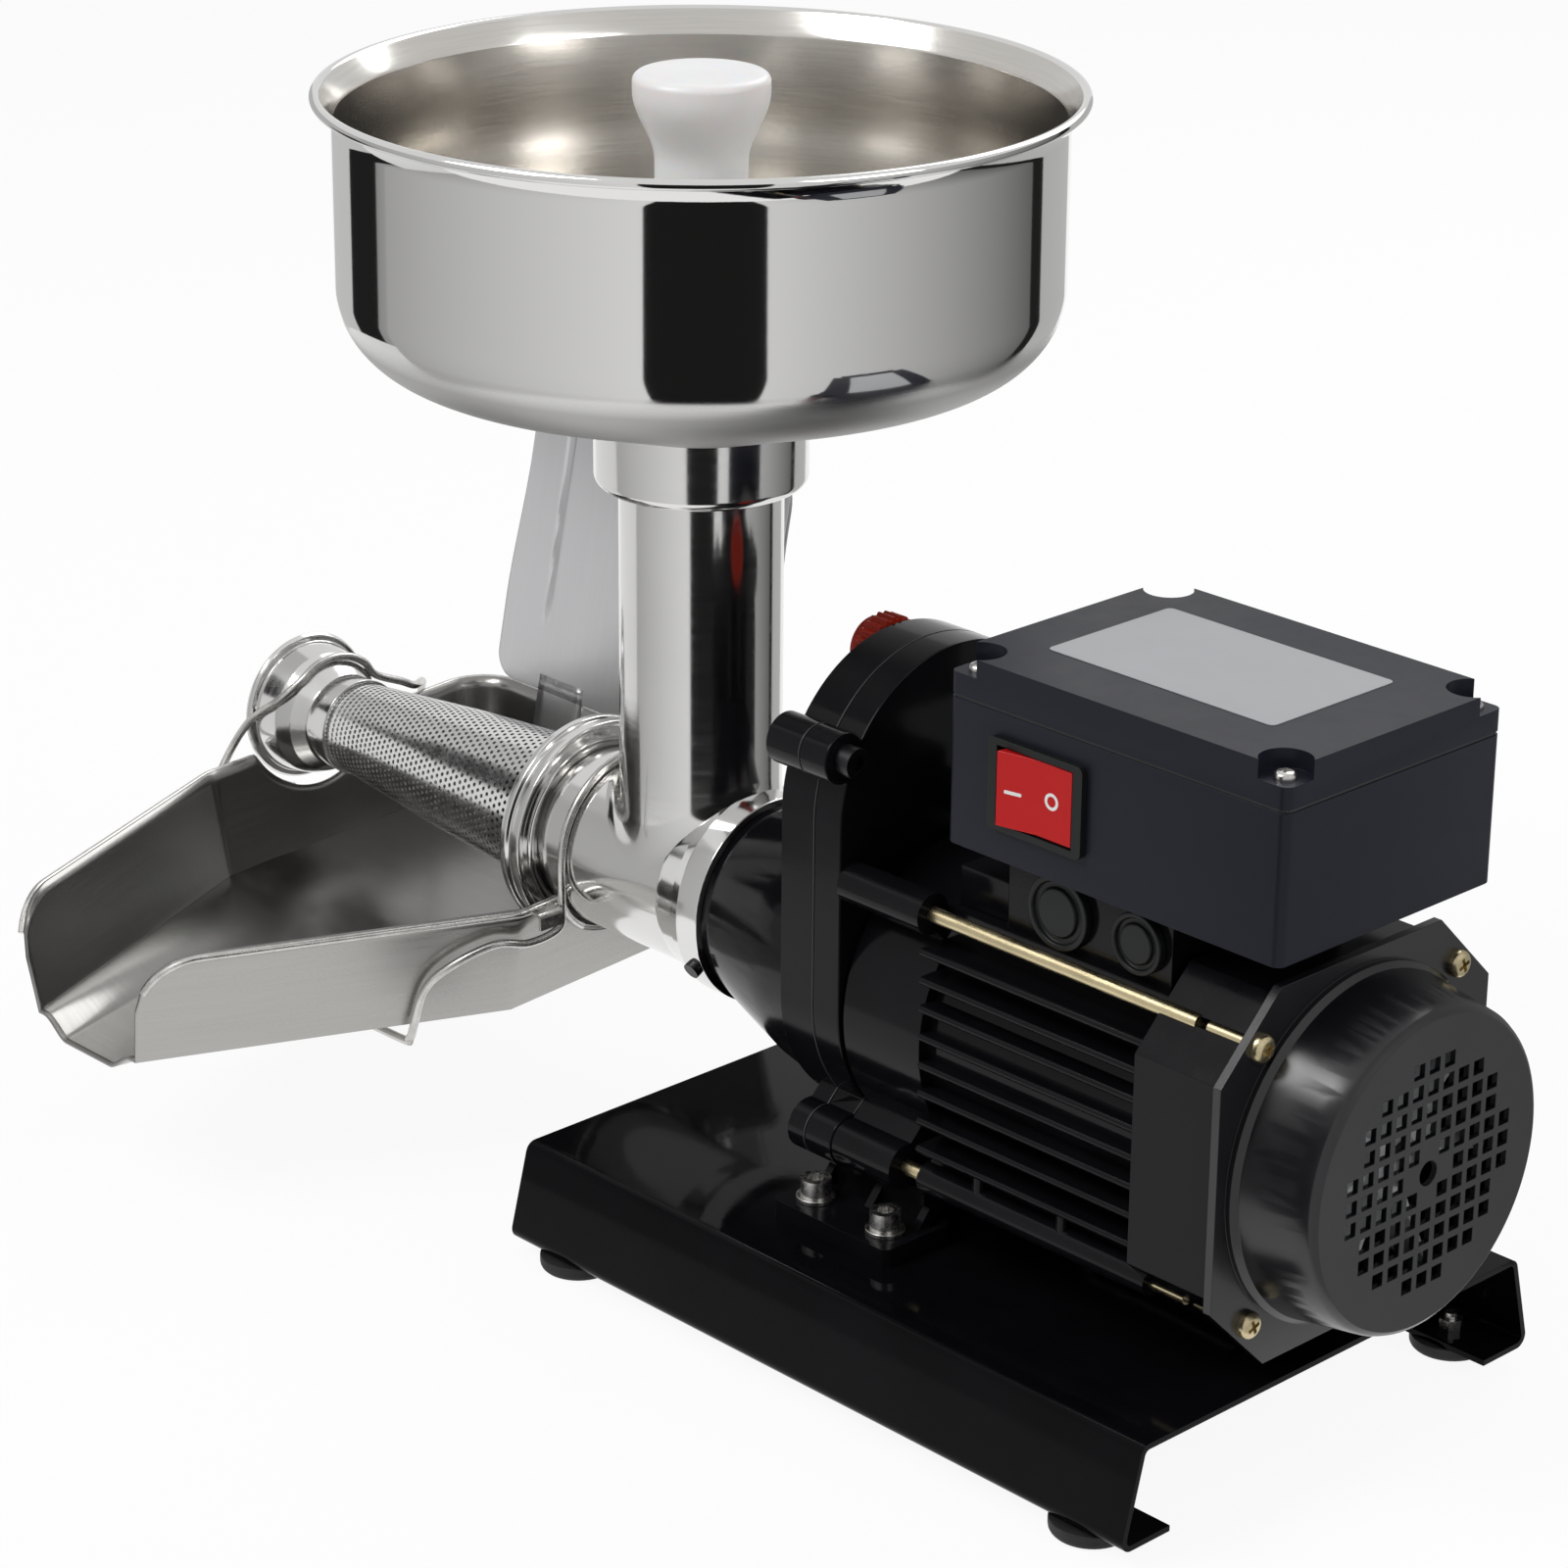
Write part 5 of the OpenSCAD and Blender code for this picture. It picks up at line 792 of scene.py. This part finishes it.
class PRESS_OT_tray(bpy.types.Operator):
    """Make the brushed tray, its splash guard and the carrying wire"""
    bl_idname = "press.tray"
    bl_label = "Tray, guard and wire"

    def execute(self, context):
        s = context.scene.press_sizes
        t = TRAY
        tall, hem, wall_grain = s.tray_wall / MM, 1.25, 300
        # floor: rows along y, columns across; the spout's middle dips to a channel
        corner = t.back - t.corner * (1 - np.sin(np.radians(np.linspace(0, 90, 9))))
        y = np.concatenate([np.linspace(-t.front, -t.kink, 60)[:-1],
                            np.linspace(-t.kink, t.back - t.corner, 78)[:-1], corner])
        yy, uu = np.meshgrid(y, np.linspace(-1, 1, 41), indexing="ij")
        half = tray_half(yy)
        near = np.clip((-t.kink + 14 - yy) / (t.front - t.kink + 14), 0, 1)
        trough = np.clip((0.9 - np.abs(uu)) / 0.45, 0, 1)
        zz = tray_floor_z(yy) - t.dip * near ** 1.2 * trough * trough * (3 - 2 * trough)
        floor = np.stack([t.mid + uu * half, yy, zz], -1)
        # wall: from the floor's border, right side, back and left side, up to the rim
        border = np.concatenate([floor[:-1, -1], floor[-1, ::-1], floor[:-1, 0][::-1]])
        step = np.gradient(border[:, :2], axis=0)
        out = np.stack([step[:, 1], -step[:, 0]], -1)
        out /= np.linalg.norm(out, axis=1)[:, None]
        lip = t.lip
        mouth = np.clip(border[:, 1] + t.front, 0, lip)
        height = tall - lip + np.sqrt(lip ** 2 - (lip - mouth) ** 2)
        height = np.where(mouth <= 0.01, tall - lip, height)
        x = border[:, 0] - t.mid
        height = cut_round(height, border, t.neck_hole, x > 0)
        height = cut_round(height, border, t.cone_hole, x < -70)
        w = np.concatenate([[0.0, 0.012, 0.03, 0.06], np.linspace(0.12, 1.0, 9)])
        lean = t.flare / tall
        rise = w[None, :] * height[:, None]
        wall = np.stack([border[:, None, 0] + out[:, None, 0] * rise * lean,
                         border[:, None, 1] + out[:, None, 1] * rise * lean,
                         border[:, None, 2] + rise], -1)
        shape = joined((floor, quads(*floor.shape[:2])), (wall, quads(*wall.shape[:2])))
        run = np.concatenate([[0], np.cumsum(np.linalg.norm(np.diff(border, axis=0), axis=1))])
        grain = np.concatenate([floor[..., :2].reshape(-1, 2),
                                np.stack(np.broadcast_arrays(run[:, None], wall_grain + rise),
                                         -1).reshape(-1, 2)])
        solid = dict(thickness=s.sheet, offset=-1.0, use_quality_normals=True,
                     material_offset=1, material_offset_rim=1)
        tray = add_piece("tray_brushed", shape, "satin", "machine",
                         ["drip_tray"], 24, recalc=False, merge=1e-5, grain=grain,
                         modifiers=[("SOLIDIFY", solid)])
        # The shell that solidify adds, and its rims, take the darker satin copy: painted shade
        # meant for the inside.
        tray.data.materials.append(finish_of("satin inside"))
        # hem along the rim, where the wall is at its full height
        rim = np.c_[wall[:, -1, :2] + out * 0.9, wall[:, -1, 2] - 1.0]
        full = height > tall * 0.6
        parts = []
        for run in np.split(np.arange(len(rim)), np.where(~full)[0]):
            run = run[full[run]]
            if len(run) > 6:
                parts.append(tube(rim[run], hem, 10))
        # hook tabs beside the neck: a plate and a lip bent down from it
        fold = rounded([(-187.5, 94.9, 0), (-179.8, 94.9, 1.8), (-179.8, 89.1, 0),
                        (-181.0, 89.1, 0), (-181.0, 93.7, 0.6), (-187.5, 93.7, 0)], 5)
        n = len(fold)
        for side in (-1, 1):
            plate = [np.c_[fold[:, 0], np.full(n, y * side), fold[:, 1]] for y in (35.0, 45.2)]
            ends = [list(range(n)), list(range(n, 2 * n))[::-1]]
            parts.append((np.stack(plate), quads(2, n, False, True).tolist() + ends))
        add_piece("tray_hem", joined(*parts), "wire steel", "machine", sharp=50)

        # carrying wire
        arch, near_y, low = 33.3, -80.5, 48.8
        a = np.radians(np.linspace(0, 180, 9))
        rear = np.c_[np.full(9, -182.8), arch * np.cos(a), AXIS_Z + arch * np.sin(a)]
        b = np.radians(np.linspace(150, 30, 7))
        front = np.c_[np.full(7, -349.0), 22.9 * np.cos(b), AXIS_Z + 22.9 * np.sin(b)]
        route = np.concatenate([[(-182.8, arch, 89.4)], rear, [
            (-182.8, -33.3, 95.0), (-183.0, -34.6, 86.2), (-185.2, -46.0, 83.2),
            (-189.6, -57.5, 84.6), (-196.6, -71.0, 78.5), (-202.4, -78.2, 70.0),
            (-206.0, near_y, 56.0), (-208.6, near_y, 50.6), (-215.3, near_y, low),
            (-275.5, near_y, low), (-335.7, near_y, low), (-342.4, near_y, 50.4),
            (-346.6, -77.0, 54.5), (-353.4, -64.4, 67.0), (-365.6, -46.0, 83.5),
            (-368.8, -34.0, 97.5), (-364.0, -27.4, 110.0), (-353.6, -22.4, 119.2)], front[1:], [
            (-350.2, 33.0, 114.2), (-354.4, 42.6, 109.2), (-364.4, 54.4, 105.2),
            (-368.0, 57.0, 101.2), (-368.9, 57.5, 97.1)]])
        add_piece("wire_hanger", tube(along(route, 7), s.wire_radius / MM), "wire steel",
                  "machine", ["tray_wire"], 50)
        self.guard(s.sheet)
        return {"FINISHED"}

    def guard(self, sheet):
        """Splash guard: a leaned sheet. Across u and up v its width follows rounded corners and
        narrows upwards, and two ribs lift it off its plane by w."""
        t, wall = TRAY, 40.0
        lean = math.atan(t.flare / wall)
        rim = wall / math.cos(lean)
        low, high, half, middle = rim + 1.0, rim + 117.7, 72.8, -283.0
        foot, top, rib, taper = 10, 20, 1.1, 3.5
        v = np.concatenate([low + foot * (1 - np.cos(np.radians(np.linspace(0, 90, 10)))),
                            np.linspace(low + 12, high - 22, 60),
                            high - top + top * np.sin(np.radians(np.linspace(0, 90, 14)))])
        width = np.full(len(v), half)
        for corner, past in ((foot, low + foot - v), (top, v - high + top)):
            arc = np.sqrt(np.maximum(corner ** 2 - past ** 2, 0))
            width = np.where(past > 0, half - corner + arc, width)
        vv, uu = np.meshgrid(v, np.linspace(-1, 1, 141), indexing="ij")
        bay = np.clip((v - rim - 30) / 60, 0, 1)
        uu = uu * (width - taper * bay * bay * (3 - 2 * bay))[:, None]
        edge = np.abs(uu) - (half - 24)
        w = (rib * np.exp(-(edge / rib) ** 2) * np.clip((vv - low - 24) / 6, 0, 1)
             * np.clip((high - 8 - vv) / 6, 0, 1))
        sin, cos = math.sin(lean), math.cos(lean)
        root_y, root_z = t.back - 0.3, t.z + t.rise
        plate = np.stack([middle + uu, root_y + vv * sin - w * cos,
                          root_z + vv * cos + w * sin], -1)
        parts, grain = [(plate, quads(*uu.shape))], [np.stack([vv, uu], -1).reshape(-1, 2)]
        for inner, outer in ((-48.0, -23.0), (23.0, 48.0)):
            lu, lv = np.meshgrid(np.linspace(inner, outer, 6), np.linspace(0.4, low + 6, 12))
            leg = np.stack([middle + lu, root_y + lv * sin, root_z + lv * cos], -1)
            parts.append((leg, quads(*lu.shape)))
            grain.append(np.stack([lv, lu], -1).reshape(-1, 2))
        add_piece("guard_sheet", joined(*parts), "satin guard", "machine",
                  ["splash_guard"], 40, recalc=False, grain=np.concatenate(grain),
                  modifiers=[("SOLIDIFY", dict(thickness=sheet, offset=-1.0))])


# -------------------- machine pieces

CASTINGS = (
    # node, finish, slot, width in mm, angle if not 30
    ("base_plate", "base enamel", "gloss_black", 0.35, 40),
    ("motor_foot", "enamel", "gloss_black", 0.9),
    ("gearbox_front", "enamel", "gloss_black", 1.6),
    ("gearbox_rear", "enamel", "gloss_black", 1.6),
    ("motor_front_shield", "enamel", "gloss_black", 1.3),
    ("stator_housing", "enamel", "gloss_black", 0.5, 35),
    ("rear_end_shield", "enamel", "gloss_black", 1.4),
    ("fan_cowl", "cowl enamel", "gloss_black", 0.45),
    ("box_pedestal", "enamel", "gloss_black", 1.0),
    ("blanking_plugs", "dark plastic", "black_plastic", 0.5),
    ("terminal_box", "box", "charcoal", 1.1),
    ("box_lid", "box", "charcoal", 1.1),
    ("switch_housing", "dark plastic", "black_plastic", 0.7),
    ("cable_gland", "dark plastic", "black_plastic", 0.5),
    ("motor_foot_screws", "zinc steel", "zinc_steel", 0.45),
    ("motor_foot_washers", "zinc steel", "zinc_steel", 0.25),
    ("cowl_screws", "yellow zinc", "yellow_zinc", 0.2, 35),
    ("lid_screws", "zinc steel", "zinc_steel", 0.16, 35),
    ("gearbox_screws", "dark steel", "dark_steel", 0.4),
    ("rubber_feet", "rubber", "rubber", 0.4),
)

PLAIN = (
    # nodes that keep their CAD mesh, by finish
    ("zinc steel", "foot_bolts foot_nuts motor_foot_nuts"),
    ("gasket", "gearbox_gasket box_gasket"),
    ("rubber", "oil_plug_ring output_seal motor_seal"),
    ("dark steel", "bayonet_pins"),
    ("ground steel", "output_bearings motor_bearings bearing_spacer output_shaft layshaft "
                     "rotor_shaft"),
    ("bronze", "layshaft_bushes"),
    ("cast alloy", "output_gear layshaft_gear layshaft_pinion motor_pinion auger"),
    ("lamination", "rotor_core stator_core"),
    ("copper wire", "stator_windings"),
    ("yellow zinc", "tie_rods"),
    ("fan plastic", "cooling_fan"),
    ("white plastic", "run_capacitor"),
)


class PRESS_OT_castings(bpy.types.Operator):
    """Make the castings, housings and screws with softened edges, and finish inner nodes"""
    bl_idname = "press.castings"
    bl_label = "Castings and housings"

    def execute(self, context):
        for node, finish, slot, width, *angle in CASTINGS:
            softened(node, finish, "machine", slot, width * MM, *angle)
        for finish, names in PLAIN:
            for node in names.split():
                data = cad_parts[node].data
                data.materials.clear()
                data.materials.append(finish_of(finish))
        return {"FINISHED"}


class PRESS_OT_plug(bpy.types.Operator):
    """Make the red filler plug"""
    bl_idname = "press.plug"
    bl_label = "Filler plug"

    def execute(self, context):
        softened("oil_plug", "red", "filler_plug", "red_plastic", 0.3 * MM)
        return {"FINISHED"}


class PRESS_OT_switch(bpy.types.Operator):
    """Make the red rocker with its two marks"""
    bl_idname = "press.switch"
    bl_label = "Rocker"

    def execute(self, context):
        softened("switch_rocker", "rocker", "rocker", "red_plastic", 0.6 * MM)
        low, high = -0.15, 0.12
        dash = slab(rounded([(-11.2, -1.05, 0.3), (-5.2, -1.05, 0.3), (-5.2, 0.05, 0.3),
                             (-11.2, 0.05, 0.3)], 4), low, high)
        ring = turned([(1.7, low), (2.7, low), (2.7, high), (1.7, high)], (6.1, 0.5, 0), "z", 40)
        points, faces = joined(dash, ring)
        add_piece("rocker_marks", (self.on_face(points), faces), "mark white", "rocker",
                  sharp=30)
        return {"FINISHED"}

    @staticmethod
    def on_face(points, middle=(52.2, -43.5, 207.7), tilt=6.0, depth=6.7, slope=0.1064):
        """Lays (u, v, lift) on the rocker's face, two planes that rise from its middle with the
        slope: height is depth + slope |u| + lift, turned by the tilt about the pivot."""
        u, v, lift = np.asarray(points, float).T
        h = depth + slope * np.abs(u) + lift
        c, k = math.cos(math.radians(tilt)), math.sin(math.radians(tilt))
        return np.stack([middle[0] + u * c + h * k, middle[1] + u * k - h * c, middle[2] + v], -1)


class PRESS_OT_label(bpy.types.Operator):
    """Make the bare plate on the lid"""
    bl_idname = "press.label"
    bl_label = "Bare plate"

    def execute(self, context):
        outline = rounded([(33, -26, 2), (122, -26, 2), (122, 29, 2), (33, 29, 2)], 5)
        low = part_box("box_lid")[1][2] / MM
        add_piece("lid_plate", slab(outline, low + 0.02, low + 0.22), "label white",
                  "machine", sharp=30)
        return {"FINISHED"}


OPERATORS = (PRESS_OT_stage, PRESS_OT_bowl, PRESS_OT_feed, PRESS_OT_cone, PRESS_OT_tray,
             PRESS_OT_castings, PRESS_OT_plug, PRESS_OT_switch, PRESS_OT_label)


class PRESS_PT_panel(bpy.types.Panel):
    """Sidebar panel with the sizes, the colours and one button for each operator"""
    bl_idname = "PRESS_PT_panel"
    bl_label = "Tomato press"
    bl_space_type = "VIEW_3D"
    bl_region_type = "UI"
    bl_category = "Press"

    def draw(self, context):
        for group in (context.scene.press_sizes, context.scene.press_colours):
            column = self.layout.column(align=True)
            for key in group.__annotations__:
                column.prop(group, key)
        for operator in OPERATORS:
            self.layout.operator(operator.bl_idname)


CLASSES = (PressSizes, PressColours, *OPERATORS, PRESS_PT_panel)


def register():
    """Registers the classes and hangs both groups on the scene."""
    for one in CLASSES:
        bpy.utils.register_class(one)
    bpy.types.Scene.press_sizes = bpy.props.PointerProperty(type=PressSizes)
    bpy.types.Scene.press_colours = bpy.props.PointerProperty(type=PressColours)


def unregister():
    """Takes both groups off the scene and the classes out again."""
    del bpy.types.Scene.press_colours
    del bpy.types.Scene.press_sizes
    for one in reversed(CLASSES):
        bpy.utils.unregister_class(one)


def main():
    """Runs every operator in order."""
    register()
    bpy.ops.press.stage()
    bpy.ops.press.bowl()
    bpy.ops.press.feed()
    bpy.ops.press.cone()
    bpy.ops.press.tray()
    bpy.ops.press.castings()
    bpy.ops.press.plug()
    bpy.ops.press.switch()
    bpy.ops.press.label()


if __name__ == "__main__":
    main()
